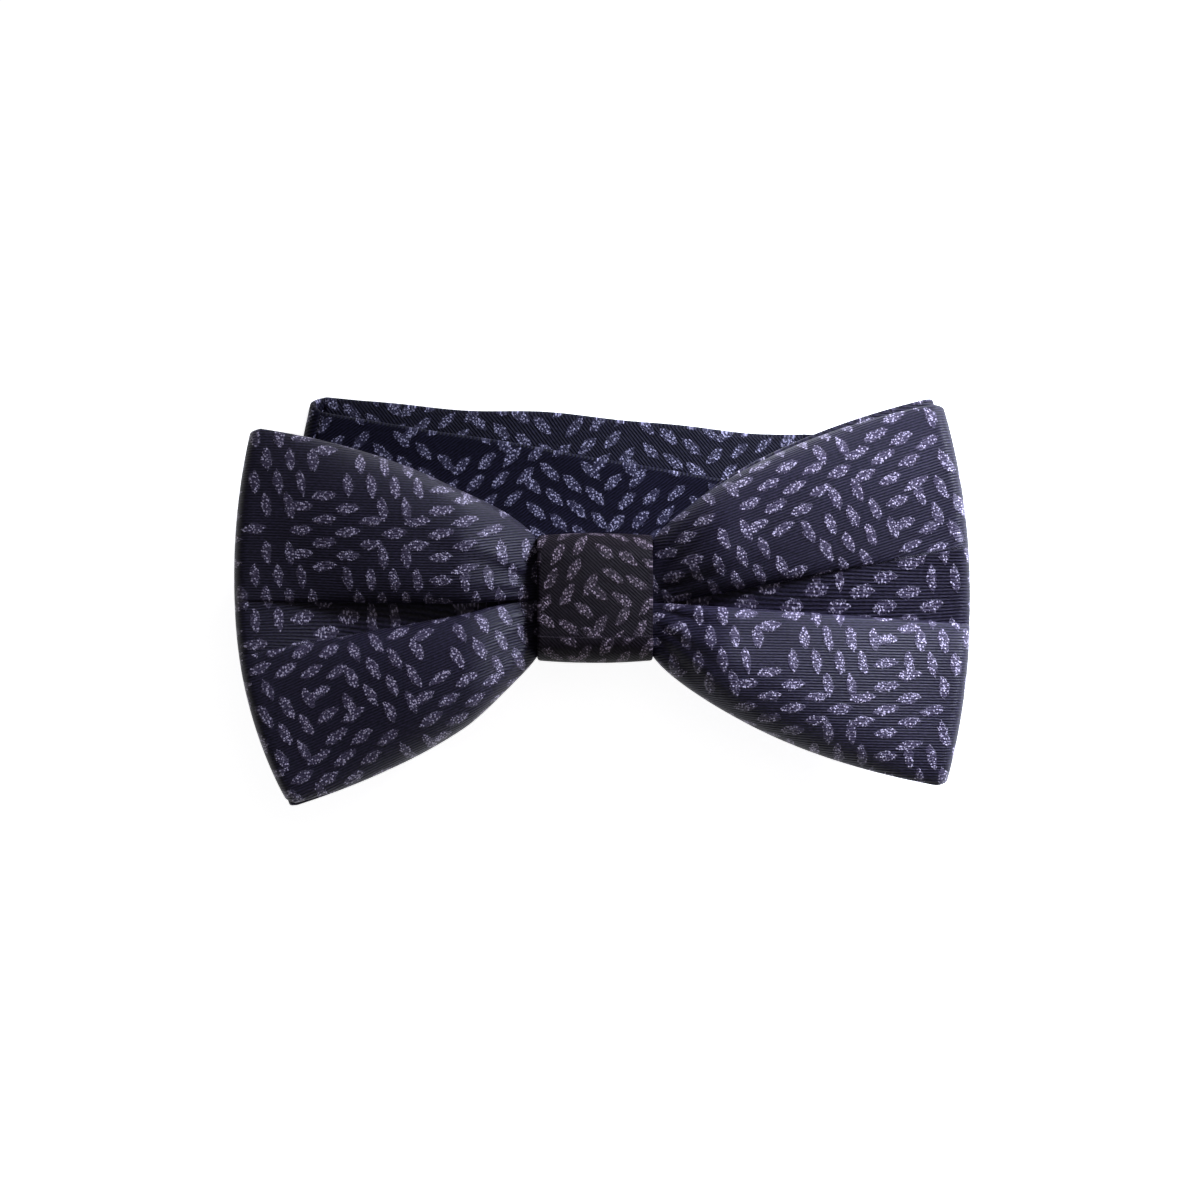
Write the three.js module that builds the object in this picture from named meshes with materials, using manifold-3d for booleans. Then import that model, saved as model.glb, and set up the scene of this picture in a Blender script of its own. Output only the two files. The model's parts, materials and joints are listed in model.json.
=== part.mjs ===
// A pre-tied bow tie, lying on its back with its band folded up behind it.
// Millimetres. +X is the wearer's left, +Y is up the bow, +Z is the way the bow faces.
// The middle of the knot is at x = 0, y = 0, and the lowest cloth lies on z = 0.
import * as THREE from "three";
import { mergeVertices } from "three/addons/utils/BufferGeometryUtils.js";
import Module from "manifold-3d";

// ---------------------------------------------------------------- driving sizes
const CLEARANCE = 0.3; // between pieces that lie on each other

const BOW_LENGTH = 119.9; // the front bow, from wing to wing
const BOW_HEIGHT = 60.4;
const OFF_CENTRE = 1.25; // how far the knot sits to the left of the bow's middle
const TIP_INSET = 4.0; // how far a wing's tips lie inside the bulge of its end
const TILT = { left: 3.2, right: 0.5 }; // of the front bow's wings, in degrees
const BACK_BOW = { shortLeft: 2.1, shortRight: 0.8, turn: 1.3 }; // against the front bow
const BOW_CLOTH = 0.8; // two plies of jacquard
const INTERLINING = 0.4;
const LINING_INSET = 2.5; // from the bow's edges
const WAIST = { ease: 0.1, flare: 16 }; // the slack in the knot, and how soon the wings spread
const BACK_BOW_LIFT = 1.6; // how far the wings stand off the band, past the waist
const BACK_BOW_SPREAD = 1.8; // between its two layers
const FRONT_BOW_RISE = 1.4; // between the two bows' facing layers, past the waist
const VALLEY = 2.2; // the front bow's layers at the crease
const PUFF = 4.2; // how far the lobes stand above the crease
const WING_RISE = 13.7; // how far from the knot a wing reaches its full height

const KNOT = { width: 19, height: 21.4, wall: 1.0, corner: 3.2, pad: 1.8, padInset: 1.2 };
const THREAD = { wall: 0.4, width: 4 };
const SEAM = { length: 16, thick: 0.4, y: -3 };

const BAND = { width: 18, thick: 1.0, knotWidth: 11, taper: 13 };
// In the knot the band's upper edge reaches to where the knot's corners begin.
const BAND_KNOT_Y = KNOT.height / 2 - KNOT.corner - BAND.knotWidth / 2;
const RIGHT_RUN = { angle: -9.4, foldX: 57, foldLine: 86.75 }; // from its left turn to its right fold
const LEFT_TURN = { x: -47.9, y: 21.8, line: 78, slip: 2.6 }; // the right half turns under itself here
const RIGHT_END = { angle: -4.5, eyeAt: 95.6 }; // the right half's end, below its run
// The left end's upper edge at its fold keeps clear of the right run's lower edge, whatever the band's width.
const LEFT_END_TOP = 6.4;
const LEFT_END_Y = LEFT_END_TOP - BAND.width / 2;
const LEFT_END = { x: -53.5, y: LEFT_END_Y, angle: -3, foldLine: 91, hookAt: 32.5, adjusterAt: 23.5, splitAt: 4 };
const ADJUSTER_TRAVEL = 18;
const TAIL = 14; // the cloth that is sewn back round the eye's bar
const WIRE = 0.6; // the bars that the cloth turns round
const RAIL = 1.4; // the width of the metal's side rails
const ADJUSTER = { halfLength: 4.5, bar: 0.9 };
const HOOK = { neck: 2.6, plate: 1.5, tongue: 3.4, tongueWidth: 5, curl: 1.2 };
const EYE = { neck: 2.6, plate: 1.3, window: 3.2, windowWidth: 7 };
const TACK = { width: 12, length: 1.6, thick: 0.4 };

// ---------------------------------------------------------------- sizes that follow
const knotHalf = KNOT.width / 2;
const waistHalf = KNOT.height / 2 - KNOT.wall - THREAD.wall - 2 * CLEARANCE - WAIST.ease;
const frontBow = {
  left: BOW_LENGTH / 2 - OFF_CENTRE,
  right: BOW_LENGTH / 2 + OFF_CENTRE,
  tilt: TILT,
};
const backBow = {
  left: frontBow.left - BACK_BOW.shortLeft,
  right: frontBow.right - BACK_BOW.shortRight,
  tilt: { left: TILT.left + BACK_BOW.turn, right: TILT.right + BACK_BOW.turn },
};

// ---------------------------------------------------------------- levels, from the table up
const step = BAND.thick + CLEARANCE;
const barGap = WIRE + 2 * CLEARANCE; // between the faces of cloth on both sides of a bar
const END_Z = BAND.thick / 2;
const TAIL_Z = END_Z + BAND.thick + barGap;
const RUN_Z = TAIL_Z + step;
const LOOP_Z = ADJUSTER.bar + CLEARANCE + BAND.thick / 2; // the left end, which passes over the adjuster's bars
const LAP_Z = LOOP_Z + BAND.thick + barGap;
const KNOT_BACK = Math.max(RUN_Z, LAP_Z) + BAND.thick / 2 + CLEARANCE; // the knot's lowest face
const CENTRE_Z = KNOT_BACK + KNOT.wall + CLEARANCE + BAND.thick / 2;
const THREAD_BACK = CENTRE_Z + BAND.thick / 2 + CLEARANCE;
const bowStep = BOW_CLOTH / 2 + CLEARANCE + INTERLINING / 2; // from a bow layer to its interlining
const BACK_BOW_Z = THREAD_BACK + THREAD.wall + CLEARANCE + BOW_CLOTH / 2;
const FRONT_BOW_Z = BACK_BOW_Z + 2 * bowStep + BOW_CLOTH + CLEARANCE;
const THREAD_FRONT = FRONT_BOW_Z + 2 * bowStep + BOW_CLOTH / 2 + CLEARANCE;
const PAD_BACK = THREAD_FRONT + THREAD.wall + CLEARANCE;
const KNOT_FRONT = PAD_BACK + KNOT.pad + CLEARANCE + KNOT.wall;

// ---------------------------------------------------------------- materials
const JACQUARD = { color: 0x2b2838, roughness: 0.62, metalness: 0 };
const KNOT_CLOTH = { color: 0x2e2833, roughness: 0.62, metalness: 0 };
const CANVAS = { color: 0xd9d4c6, roughness: 0.9, metalness: 0 };
const STITCH = { color: 0x1c1a26, roughness: 0.8, metalness: 0 };
const NICKEL = { color: 0xb9bcc0, roughness: 0.25, metalness: 1 };

const model = new THREE.Group();
const wasm = await Module();
wasm.setup();

function place(name, geometry, finish) {
  const mesh = new THREE.Mesh(geometry, new THREE.MeshStandardMaterial(finish));
  mesh.name = name;
  model.add(mesh);
  return mesh;
}

const rad = THREE.MathUtils.degToRad;
const clamp = THREE.MathUtils.clamp;
const lerp = THREE.MathUtils.lerp;
const smooth = THREE.MathUtils.smoothstep;
const heading = (degrees) => new THREE.Vector3(Math.cos(rad(degrees)), Math.sin(rad(degrees)), 0);
const at = (x, y, z) => new THREE.Vector3(x, y, z);

// ---------------------------------------------------------------- cloth
// A sheet of even thickness whose middle surface is surface(a, b), with a and b from 0 to 1.
function sheet(surface, along, across, thick) {
  const geometry = new THREE.BoxGeometry(1, 1, 1, along, across, 1);
  geometry.deleteAttribute("normal");
  geometry.deleteAttribute("uv");
  const near = 1e-3;
  const places = geometry.attributes.position;
  for (let i = 0; i < places.count; i++) {
    const a = places.getX(i) + 0.5;
    const b = places.getY(i) + 0.5;
    const alongWay = surface(Math.min(a + near, 1), b).sub(surface(Math.max(a - near, 0), b));
    const acrossWay = surface(a, Math.min(b + near, 1)).sub(surface(a, Math.max(b - near, 0)));
    const normal = alongWay.cross(acrossWay).normalize();
    const p = surface(a, b).addScaledVector(normal, places.getZ(i) * thick);
    places.setXYZ(i, p.x, p.y, p.z);
  }
  return mergeVertices(geometry, 1e-5);
}

// A flat ribbon through pairs of edge points, [lower edge, upper edge].
function ribbon(stations, thick = BAND.thick) {
  const last = stations.length - 1;
  const surface = (a, b) => {
    const i = Math.min(Math.floor(a * last), last - 1);
    const t = a * last - i;
    const low = stations[i][0].clone().lerp(stations[i + 1][0], t);
    const high = stations[i][1].clone().lerp(stations[i + 1][1], t);
    return low.lerp(high, b);
  };
  return sheet(surface, last, 1, thick);
}

// A straight run of band has a start, a heading and a height. Its two edges at a distance along it,
// cut square or along a fold line.
function run(start, angle, z) {
  const origin = at(start.x, start.y, 0);
  const way = heading(angle);
  const side = heading(angle + 90);
  const edges = (along, options = {}) => {
    const { line, width = BAND.width, lift = 0, shift = 0 } = options;
    return [-width / 2, width / 2].map((t) => {
      const skew = line === undefined ? 0 : (t * heading(line).dot(way)) / heading(line).dot(side);
      const p = at(start.x, start.y, z + lift);
      return p.addScaledVector(way, along + skew).addScaledVector(side, t + shift);
    });
  };
  return { start: origin, angle, z, way, side, edges };
}

// The run that a folded run leads to: its mirror image in the fold line, moved along the line by as much
// as a strip that meets the line aslant creeps while it goes round the fold.
function mirrored(lower, line, upperZ) {
  const axis = heading(line);
  const across = Math.abs(heading(line + 90).dot(lower.way));
  const creep = (-Math.PI * ((upperZ - lower.z) / 2) * axis.dot(lower.way)) / across;
  return run(lower.start.clone().addScaledVector(axis, creep), 2 * line - lower.angle + 180, upperZ);
}

// The half circle of cloth that joins the starts of two runs, one above the other.
function fold(lower, upper, line) {
  const radius = (upper.z - lower.z) / 2;
  const out = heading(line + 90);
  out.multiplyScalar(-Math.sign(out.dot(lower.way)));
  const lowEdges = lower.edges(0, { line });
  const upperEdges = upper.edges(0, { line });
  const sameWay = lower.side.dot(upper.side) > 0;
  if (!sameWay) upperEdges.reverse();
  const steps = 10;
  const stations = [];
  for (let i = 0; i <= steps; i++) {
    const turn = (i / steps) * Math.PI;
    const pair = lowEdges.map((low, k) => {
      const p = low.clone().lerp(upperEdges[k], i / steps).addScaledVector(out, radius * Math.sin(turn));
      return p.setZ(lower.z + radius * (1 - Math.cos(turn)));
    });
    stations.push(pair);
  }
  return { stations, axis: heading(line), pivot: lower.start.clone().setZ(lower.z + radius), line, upper };
}

// The right half: run, with the end below it.
const turnStart = at(LEFT_TURN.x, LEFT_TURN.y, 0);
const rightRun = run(turnStart, RIGHT_RUN.angle, RUN_Z);
const endStart = turnStart.clone().addScaledVector(heading(LEFT_TURN.line), LEFT_TURN.slip);
const rightEnd = run(endStart, RIGHT_END.angle, END_Z);
const rightTurn = fold(rightEnd, rightRun, LEFT_TURN.line);
const runLength = (RIGHT_RUN.foldX - LEFT_TURN.x) / Math.cos(rad(RIGHT_RUN.angle));
const runBack = run(turnStart.clone().addScaledVector(rightRun.way, runLength), RIGHT_RUN.angle + 180, RUN_Z);
const rightFold = fold(runBack, mirrored(runBack, RIGHT_RUN.foldLine, CENTRE_Z), RIGHT_RUN.foldLine);

// The left half: one run below the band's middle.
const leftEnd = run(LEFT_END, LEFT_END.angle, LOOP_Z);
const leftFold = fold(leftEnd, mirrored(leftEnd, LEFT_END.foldLine, CENTRE_Z), LEFT_END.foldLine);

// The band's middle, between the two folds, drawn in where the knot holds it.
function bandCentre() {
  const knotEdges = (x) => [-1, 1].map((s) => at(x, BAND_KNOT_Y + (s * BAND.knotWidth) / 2, CENTRE_Z));
  const edgesOf = ({ upper, line }) => {
    const lowFirst = (pair) => (pair[0].y < pair[1].y ? pair : pair.reverse());
    const full = (Math.abs(upper.start.x) - knotHalf + CLEARANCE - BAND.taper) / Math.abs(upper.way.x);
    return { end: lowFirst(upper.edges(CLEARANCE, { line })), full: lowFirst(upper.edges(full)) };
  };
  const left = edgesOf(leftFold);
  const right = edgesOf(rightFold);
  const held = [knotEdges(CLEARANCE - knotHalf), knotEdges(knotHalf - CLEARANCE)];
  place("band_centre", ribbon([left.end, left.full, ...held, right.full, right.end]), JACQUARD);
}

// Stations round a bar at a distance along a run, from the run's own level to another.
function roundBar(track, along, toZ) {
  const radius = (toZ - track.z) / 2;
  const steps = 8;
  const stations = [];
  for (let i = 0; i <= steps; i++) {
    const turn = (i / steps) * Math.PI;
    stations.push(track.edges(along + radius * Math.sin(turn), { lift: radius * (1 - Math.cos(turn)) }));
  }
  return stations;
}

function tacking(name, track, along, z) {
  const tack = place(name, new THREE.BoxGeometry(TACK.length, TACK.width, TACK.thick), STITCH);
  tack.position.copy(track.start).addScaledVector(track.way, along).setZ(z);
  tack.rotation.z = rad(track.angle);
}

// The right half of the band, from its fold to the cloth sewn back round the eye's bar.
function rightHalf() {
  const { line } = LEFT_TURN;
  place("right_fold", ribbon(rightFold.stations), JACQUARD);
  const nearFold = rightRun.edges(runLength - CLEARANCE, { line: RIGHT_RUN.foldLine });
  place("right_run", ribbon([rightRun.edges(CLEARANCE, { line }), nearFold]), JACQUARD);
  place("right_turn", ribbon(rightTurn.stations), JACQUARD);
  const turned = roundBar(rightEnd, RIGHT_END.eyeAt, TAIL_Z);
  const tailEnd = rightEnd.edges(RIGHT_END.eyeAt - TAIL, { lift: TAIL_Z - END_Z });
  place("right_end", ribbon([rightEnd.edges(CLEARANCE, { line }), ...turned, tailEnd]), JACQUARD);
  tacking("eye_tacking", rightEnd, RIGHT_END.eyeAt - TAIL / 2, (END_Z + TAIL_Z) / 2);
}

// The left half: its fold and run, and the cloth that turns round the hook's bar to the adjuster's.
function leftHalf() {
  const { foldLine, hookAt, adjusterAt, splitAt } = LEFT_END;
  const lapped = { lift: LAP_Z - LOOP_Z };
  place("left_fold", ribbon(leftFold.stations), JACQUARD);
  place("left_run", ribbon([leftEnd.edges(CLEARANCE, { line: foldLine }), leftEnd.edges(splitAt)]), JACQUARD);
  const throughAdjuster = [leftEnd.edges(splitAt + CLEARANCE), leftEnd.edges(hookAt - CLEARANCE)];
  place("loop_run", ribbon(throughAdjuster), JACQUARD);
  place("loop_end", ribbon(roundBar(leftEnd, hookAt, LAP_Z)), JACQUARD);
  const radius = (BAND.thick + barGap) / 2;
  const overBar = [0, 1, 2, 3, 4].map((i) => {
    const turn = (i / 8) * Math.PI;
    const lift = lapped.lift - radius * (1 - Math.cos(turn));
    return leftEnd.edges(adjusterAt - radius * Math.sin(turn), { lift });
  });
  const lap = [leftEnd.edges(hookAt - CLEARANCE, lapped), ...overBar];
  place("loop_lap", ribbon(lap.map(([low, high]) => [high, low])), JACQUARD);
  tacking("adjuster_tacking", leftEnd, adjusterAt + 2.5, LAP_Z + BAND.thick / 2 + CLEARANCE + TACK.thick / 2);
}

// ---------------------------------------------------------------- metal
function solid(geometry) {
  const bare = geometry.index ? geometry.clone() : geometry;
  bare.deleteAttribute("normal");
  bare.deleteAttribute("uv");
  const merged = mergeVertices(bare, 1e-5);
  const vertProperties = new Float32Array(merged.attributes.position.array);
  const triVerts = new Uint32Array(merged.index.array);
  return new wasm.Manifold(new wasm.Mesh({ numProp: 3, vertProperties, triVerts }));
}

function geometryOf(manifold) {
  const { vertProperties, triVerts, numProp } = manifold.getMesh();
  const geometry = new THREE.BufferGeometry();
  const places = [];
  for (let i = 0; i < vertProperties.length; i += numProp) {
    places.push(vertProperties[i], vertProperties[i + 1], vertProperties[i + 2]);
  }
  geometry.setAttribute("position", new THREE.Float32BufferAttribute(places, 3));
  geometry.setIndex(new THREE.Uint32BufferAttribute(triVerts, 1));
  geometry.computeVertexNormals();
  return geometry;
}

// A block from low to high corners, along X, across Y and up Z.
function block(x, y, z) {
  const geometry = new THREE.BoxGeometry(x[1] - x[0], y[1] - y[0], z[1] - z[0]);
  geometry.translate((x[0] + x[1]) / 2, (y[0] + y[1]) / 2, (z[0] + z[1]) / 2);
  return solid(geometry);
}

const joined = (pieces) => pieces.reduce((whole, piece) => whole.add(piece));
const inner = BAND.width / 2 + CLEARANCE; // half the way between a metal piece's rails
const outer = inner + RAIL;
const hookZ = (LOOP_Z + LAP_Z) / 2;
const eyeZ = (END_Z + TAIL_Z) / 2;

function onRun(name, manifold, track, along, z) {
  const mesh = place(name, geometryOf(manifold), NICKEL);
  mesh.position.copy(at(track.start.x, track.start.y, 0).addScaledVector(track.way, along));
  mesh.position.z = z;
  mesh.rotation.z = rad(track.angle);
  return mesh;
}

// The slide adjuster: two low bars in front of and behind a raised middle bar.
function slideAdjuster() {
  const { halfLength, bar } = ADJUSTER;
  const barZ = LAP_Z - BAND.thick / 2 - CLEARANCE;
  const rails = [-1, 1].map((s) => {
    const y = [Math.min(s * inner, s * outer), Math.max(s * inner, s * outer)];
    const low = block([-halfLength, halfLength], y, [0, bar]);
    return low.add(block([-1.1, 1.1], y, [0, barZ]));
  });
  const bars = [-1, 1].map((s) => {
    const x = [s * halfLength - (s > 0 ? bar : 0), s * halfLength + (s > 0 ? 0 : bar)];
    return block(x, [-outer, outer], [0, bar]);
  });
  const middle = block([-WIRE / 2, WIRE / 2], [-outer, outer], [barZ - WIRE, barZ]);
  onRun("slide_adjuster", joined([...rails, ...bars, middle]), leftEnd, LEFT_END.adjusterAt, 0);
}

// A bar with two arms to a cross plate, which the hook and the eye share.
function barAndArms(neck, plate) {
  const half = WIRE / 2;
  const level = [-half, half];
  const arms = [-1, 1].map((s) => {
    const y = [Math.min(s * inner, s * outer), Math.max(s * inner, s * outer)];
    return block([-half, neck + plate], y, level);
  });
  const bar = block([-half, half], [-outer, outer], level);
  return joined([bar, ...arms, block([neck, neck + plate], [-outer, outer], level)]);
}

// The hook's tongue runs out, turns down round a half circle and comes back below itself.
function hook() {
  const half = WIRE / 2;
  const start = HOOK.neck + HOOK.plate;
  const outline = new THREE.Shape();
  const end = start + HOOK.tongue;
  const bend = HOOK.curl / 2 + WIRE;
  outline.moveTo(start - 0.3, -half);
  outline.lineTo(end, -half);
  outline.absarc(end, half - bend, HOOK.curl / 2, Math.PI / 2, -Math.PI / 2, true);
  outline.lineTo(start + 0.6, half - bend - HOOK.curl / 2);
  outline.lineTo(start + 0.6, half - 2 * bend);
  outline.lineTo(end, half - 2 * bend);
  outline.absarc(end, half - bend, bend, -Math.PI / 2, Math.PI / 2, false);
  outline.lineTo(start - 0.3, half);
  const tongue = new THREE.ExtrudeGeometry(outline, {
    depth: HOOK.tongueWidth,
    bevelEnabled: false,
    curveSegments: 8,
  });
  tongue.rotateX(Math.PI / 2);
  tongue.translate(0, HOOK.tongueWidth / 2, 0);
  const whole = barAndArms(HOOK.neck, HOOK.plate).add(solid(tongue));
  onRun("hook", whole, leftEnd, LEFT_END.hookAt, hookZ);
}

// The eye's plate carries a window that the hook's tongue enters.
function eye() {
  const half = WIRE / 2;
  const from = EYE.neck + EYE.plate;
  const to = from + EYE.window;
  const side = EYE.windowWidth / 2;
  const frame = block([from - 0.3, to + EYE.plate], [-side - RAIL, side + RAIL], [-half, half]);
  const window = block([from, to], [-side, side], [-WIRE, WIRE]);
  const whole = barAndArms(EYE.neck, EYE.plate).add(frame.subtract(window));
  onRun("eye", whole, rightEnd, RIGHT_END.eyeAt, eyeZ);
}

// ---------------------------------------------------------------- bows
// Half the bow's height at a distance from its middle: held at the waist, then flaring to the tips.
function halfHeight(x) {
  const past = Math.max(Math.abs(x) - knotHalf + CLEARANCE, 0);
  return waistHalf + (BOW_HEIGHT / 2 - waistHalf + 1) * (1 - Math.exp(-past / WAIST.flare));
}

// 0 in the knot, 1 on the wings.
const onWing = (x) => smooth(Math.abs(x), knotHalf, knotHalf + WING_RISE);

// A point on one half of a bow. s is -1 on the left and 1 on the right, v runs from -1 (bottom) to 1 (top),
// and w from 0 (the wing's end) over 1 (the edge of the knot) to 2 (the middle of the knot).
function bowPoint(size, s, v, w, inset, z) {
  const reach = (s < 0 ? size.left : size.right) - inset - TIP_INSET * v * v;
  const x = w < 1 ? lerp(reach, knotHalf, w) : lerp(knotHalf, 0, w - 1);
  const y = v * (halfHeight(x) - inset * onWing(x));
  const tilt = rad(s < 0 ? size.tilt.left : size.tilt.right) * onWing(x);
  return at(s * x, y, z(x, v)).applyAxisAngle(at(0, 0, 1), tilt);
}

// The middle height of each layer, over x and v.
const backBowBack = (x) => BACK_BOW_Z + BACK_BOW_LIFT * onWing(x);
const backBowFront = (x) => backBowBack(x) + lerp(2 * bowStep, BACK_BOW_SPREAD, onWing(x));
const frontBowBack = (x) => lerp(FRONT_BOW_Z, BACK_BOW_Z + BACK_BOW_LIFT + BACK_BOW_SPREAD + FRONT_BOW_RISE, onWing(x));
function frontBowFront(x, v) {
  const crease = lerp(2 * bowStep, VALLEY, onWing(x));
  const lobe = Math.pow(Math.sin(Math.PI * Math.abs(v)), 2);
  const edge = 0.35 * smooth(Math.abs(v), 0.4, 1);
  return frontBowBack(x) + crease + PUFF * onWing(x) * Math.max(lobe, edge);
}

// A bow is one band of cloth laid in a flat loop, with its two ends meeting at the back of the knot.
function bow(name, size, back, front) {
  const quarter = 12; // steps from the middle to a wing's end
  const held = 2 / quarter; // the share of them inside the knot
  const turnShare = 0.06; // the share of a wing in which its cloth turns back
  const turnDepth = 0.02; // how deep that turn is
  const seamGap = 0.03; // between the cloth's two ends, behind the knot
  const surface = (a, b) => {
    const q = clamp(a, 0, 1) * 4;
    const side = q < 2 ? -1 : 1;
    const isFront = q > 1 && q < 3;
    const t = Math.abs(q < 2 ? q - 1 : q - 3); // 0 at the wing's end, 1 at the middle
    const wing = Math.pow(Math.min(t / (1 - held), 1), 1.5);
    const turn = Math.min(wing / turnShare, 1) * (Math.PI / 2);
    const past = Math.max(wing - turnShare, 0) / (1 - turnShare);
    const onto = past > 0 ? lerp(turnDepth, 1, past) : turnDepth * (1 - Math.cos(turn));
    const inKnot = Math.max(t - 1 + held, 0) / held;
    const w = inKnot > 0 ? 1 + inKnot * (isFront ? 1 : 1 - seamGap) : onto;
    const blend = 0.5 + 0.5 * Math.sin(turn) * (isFront ? 1 : -1);
    return bowPoint(size, side, 2 * b - 1, w, 0, (x, v) => lerp(back(x, v), front(x, v), blend));
  };
  place(name, sheet(surface, 4 * quarter, 8, BOW_CLOTH), JACQUARD);
  const lining = (a, b) => {
    const q = clamp(a, 0, 1) * 2;
    const t = Math.abs(q - 1); // 0 in the middle, 1 at the wing's end
    const w = t > held ? 1 - (t - held) / (1 - held) : 2 - t / held;
    const half = (x, v) => Math.min(lerp(back(x, v), front(x, v), 0.5), back(x, v) + bowStep + CLEARANCE);
    return bowPoint(size, q < 1 ? -1 : 1, 2 * b - 1, w, LINING_INSET, half);
  };
  place(`${name}_interlining`, sheet(lining, 2 * quarter, 6, INTERLINING), CANVAS);
}

// ---------------------------------------------------------------- knot
// A rounded outline in the YZ plane.
function outlineOf(halfHeightY, low, high, corner) {
  const shape = new THREE.Shape();
  shape.moveTo(-halfHeightY + corner, low);
  shape.lineTo(halfHeightY - corner, low);
  shape.absarc(halfHeightY - corner, low + corner, corner, -Math.PI / 2, 0, false);
  shape.lineTo(halfHeightY, high - corner);
  shape.absarc(halfHeightY - corner, high - corner, corner, 0, Math.PI / 2, false);
  shape.lineTo(-halfHeightY + corner, high);
  shape.absarc(-halfHeightY + corner, high - corner, corner, Math.PI / 2, Math.PI, false);
  shape.lineTo(-halfHeightY, low + corner);
  shape.absarc(-halfHeightY + corner, low + corner, corner, Math.PI, 1.5 * Math.PI, false);
  return shape;
}

// Extrudes an outline of the YZ plane along X, about x = 0.
function alongX(shape, width) {
  const geometry = new THREE.ExtrudeGeometry(shape, { depth: width, bevelEnabled: false, curveSegments: 6 });
  geometry.translate(0, 0, -width / 2);
  geometry.applyMatrix4(new THREE.Matrix4().set(0, 0, 1, 0, 1, 0, 0, 0, 0, 1, 0, 0, 0, 0, 0, 1));
  return geometry;
}

function ring(halfY, low, high, corner, wall, width) {
  const outside = solid(alongX(outlineOf(halfY, low, high, corner), width));
  const inside = solid(alongX(outlineOf(halfY - wall, low + wall, high - wall, corner - wall), width + 2));
  return geometryOf(outside.subtract(inside));
}

function knot() {
  const halfY = KNOT.height / 2;
  place("knot_wrap", ring(halfY, KNOT_BACK, KNOT_FRONT, KNOT.corner, KNOT.wall, KNOT.width), KNOT_CLOTH);
  const padHalf = halfY - KNOT.wall - CLEARANCE - KNOT.padInset;
  const padShape = outlineOf(padHalf, PAD_BACK, PAD_BACK + KNOT.pad, KNOT.pad / 2.2);
  place("knot_pad", alongX(padShape, KNOT.width - 2 * KNOT.padInset), CANVAS);
  const threadHalf = waistHalf + CLEARANCE + THREAD.wall;
  const thread = ring(threadHalf, THREAD_BACK, THREAD_FRONT + THREAD.wall, 0.8, THREAD.wall, THREAD.width);
  place("gathering_thread", thread, STITCH);
  const seam = place("knot_seam", new THREE.BoxGeometry(SEAM.length, SEAM.thick * 2, SEAM.thick), STITCH);
  seam.position.set(0, SEAM.y, KNOT_BACK - CLEARANCE / 2 - SEAM.thick / 2);
}

bow("front_bow", frontBow, frontBowBack, frontBowFront);
bow("back_bow", backBow, backBowBack, backBowFront);
knot();
bandCentre();
rightHalf();
leftHalf();
slideAdjuster();
hook();
eye();

// ---------------------------------------------------------------- the model's own frame
// The origin goes to the middle of the underside.
const box = new THREE.Box3().setFromObject(model);
const middle = box.getCenter(new THREE.Vector3());
model.position.set(-middle.x, -middle.y, -box.min.z);

// Where it turns and slides, in that frame.
const inFrame = (p) => p.clone().add(model.position);
const barPoint = (track, along, z) => inFrame(track.start.clone().addScaledVector(track.way, along).setZ(z));
const pivots = { right_unfold: rightFold, turn_unfold: rightTurn, left_unfold: leftFold };
model.userData.joints = {
  eye_swivel: { point: barPoint(rightEnd, RIGHT_END.eyeAt, eyeZ), axis: rightEnd.side },
  hook_swivel: { point: barPoint(leftEnd, LEFT_END.hookAt, hookZ), axis: leftEnd.side },
  adjuster_slide: { travel: ADJUSTER_TRAVEL, axis: leftEnd.way.clone().negate() },
};
for (const [name, { pivot, axis }] of Object.entries(pivots)) {
  model.userData.joints[name] = { point: inFrame(pivot), axis };
}
model.userData.restingFace = barPoint(rightEnd, RIGHT_END.eyeAt / 2, 0);

export default model;
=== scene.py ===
# %% [markdown]
# # A pre-tied bow tie
# A pre-tied bow tie is two flat loops of cloth, one in front of the other, gathered at the middle and held
# there by a short wrap, the knot. A flat band runs through the back of the knot and goes round the neck.
# Here the tie lies on its back with the band folded up behind it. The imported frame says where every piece
# is and what moves; this lesson dresses it in cloth, thread and nickel.

# %% Load the frame
import json
import math
import bpy
import bmesh
import numpy as np
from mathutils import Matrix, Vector


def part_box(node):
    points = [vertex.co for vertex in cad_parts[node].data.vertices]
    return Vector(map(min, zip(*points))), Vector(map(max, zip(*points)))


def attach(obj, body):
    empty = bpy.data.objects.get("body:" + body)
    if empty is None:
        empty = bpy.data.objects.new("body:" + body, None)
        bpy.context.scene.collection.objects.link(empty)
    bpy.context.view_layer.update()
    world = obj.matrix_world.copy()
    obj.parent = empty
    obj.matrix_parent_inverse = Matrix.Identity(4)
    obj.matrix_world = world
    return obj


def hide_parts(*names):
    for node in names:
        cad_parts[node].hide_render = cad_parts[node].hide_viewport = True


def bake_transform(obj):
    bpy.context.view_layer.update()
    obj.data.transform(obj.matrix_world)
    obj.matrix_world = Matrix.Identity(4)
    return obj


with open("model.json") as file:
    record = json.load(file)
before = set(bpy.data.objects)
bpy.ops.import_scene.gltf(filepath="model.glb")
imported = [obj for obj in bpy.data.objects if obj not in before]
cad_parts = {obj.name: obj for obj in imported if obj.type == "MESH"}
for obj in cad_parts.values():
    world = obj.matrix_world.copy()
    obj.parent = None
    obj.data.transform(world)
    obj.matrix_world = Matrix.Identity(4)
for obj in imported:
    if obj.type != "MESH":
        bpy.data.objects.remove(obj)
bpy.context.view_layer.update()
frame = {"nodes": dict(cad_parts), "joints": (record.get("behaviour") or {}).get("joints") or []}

# %% [markdown]
# ## Working in millimetres
# Blender counts in metres, but a tie is cut in millimetres. The places come from the frame as arrays in
# millimetres, and each mesh is scaled once, when it is made.

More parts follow.
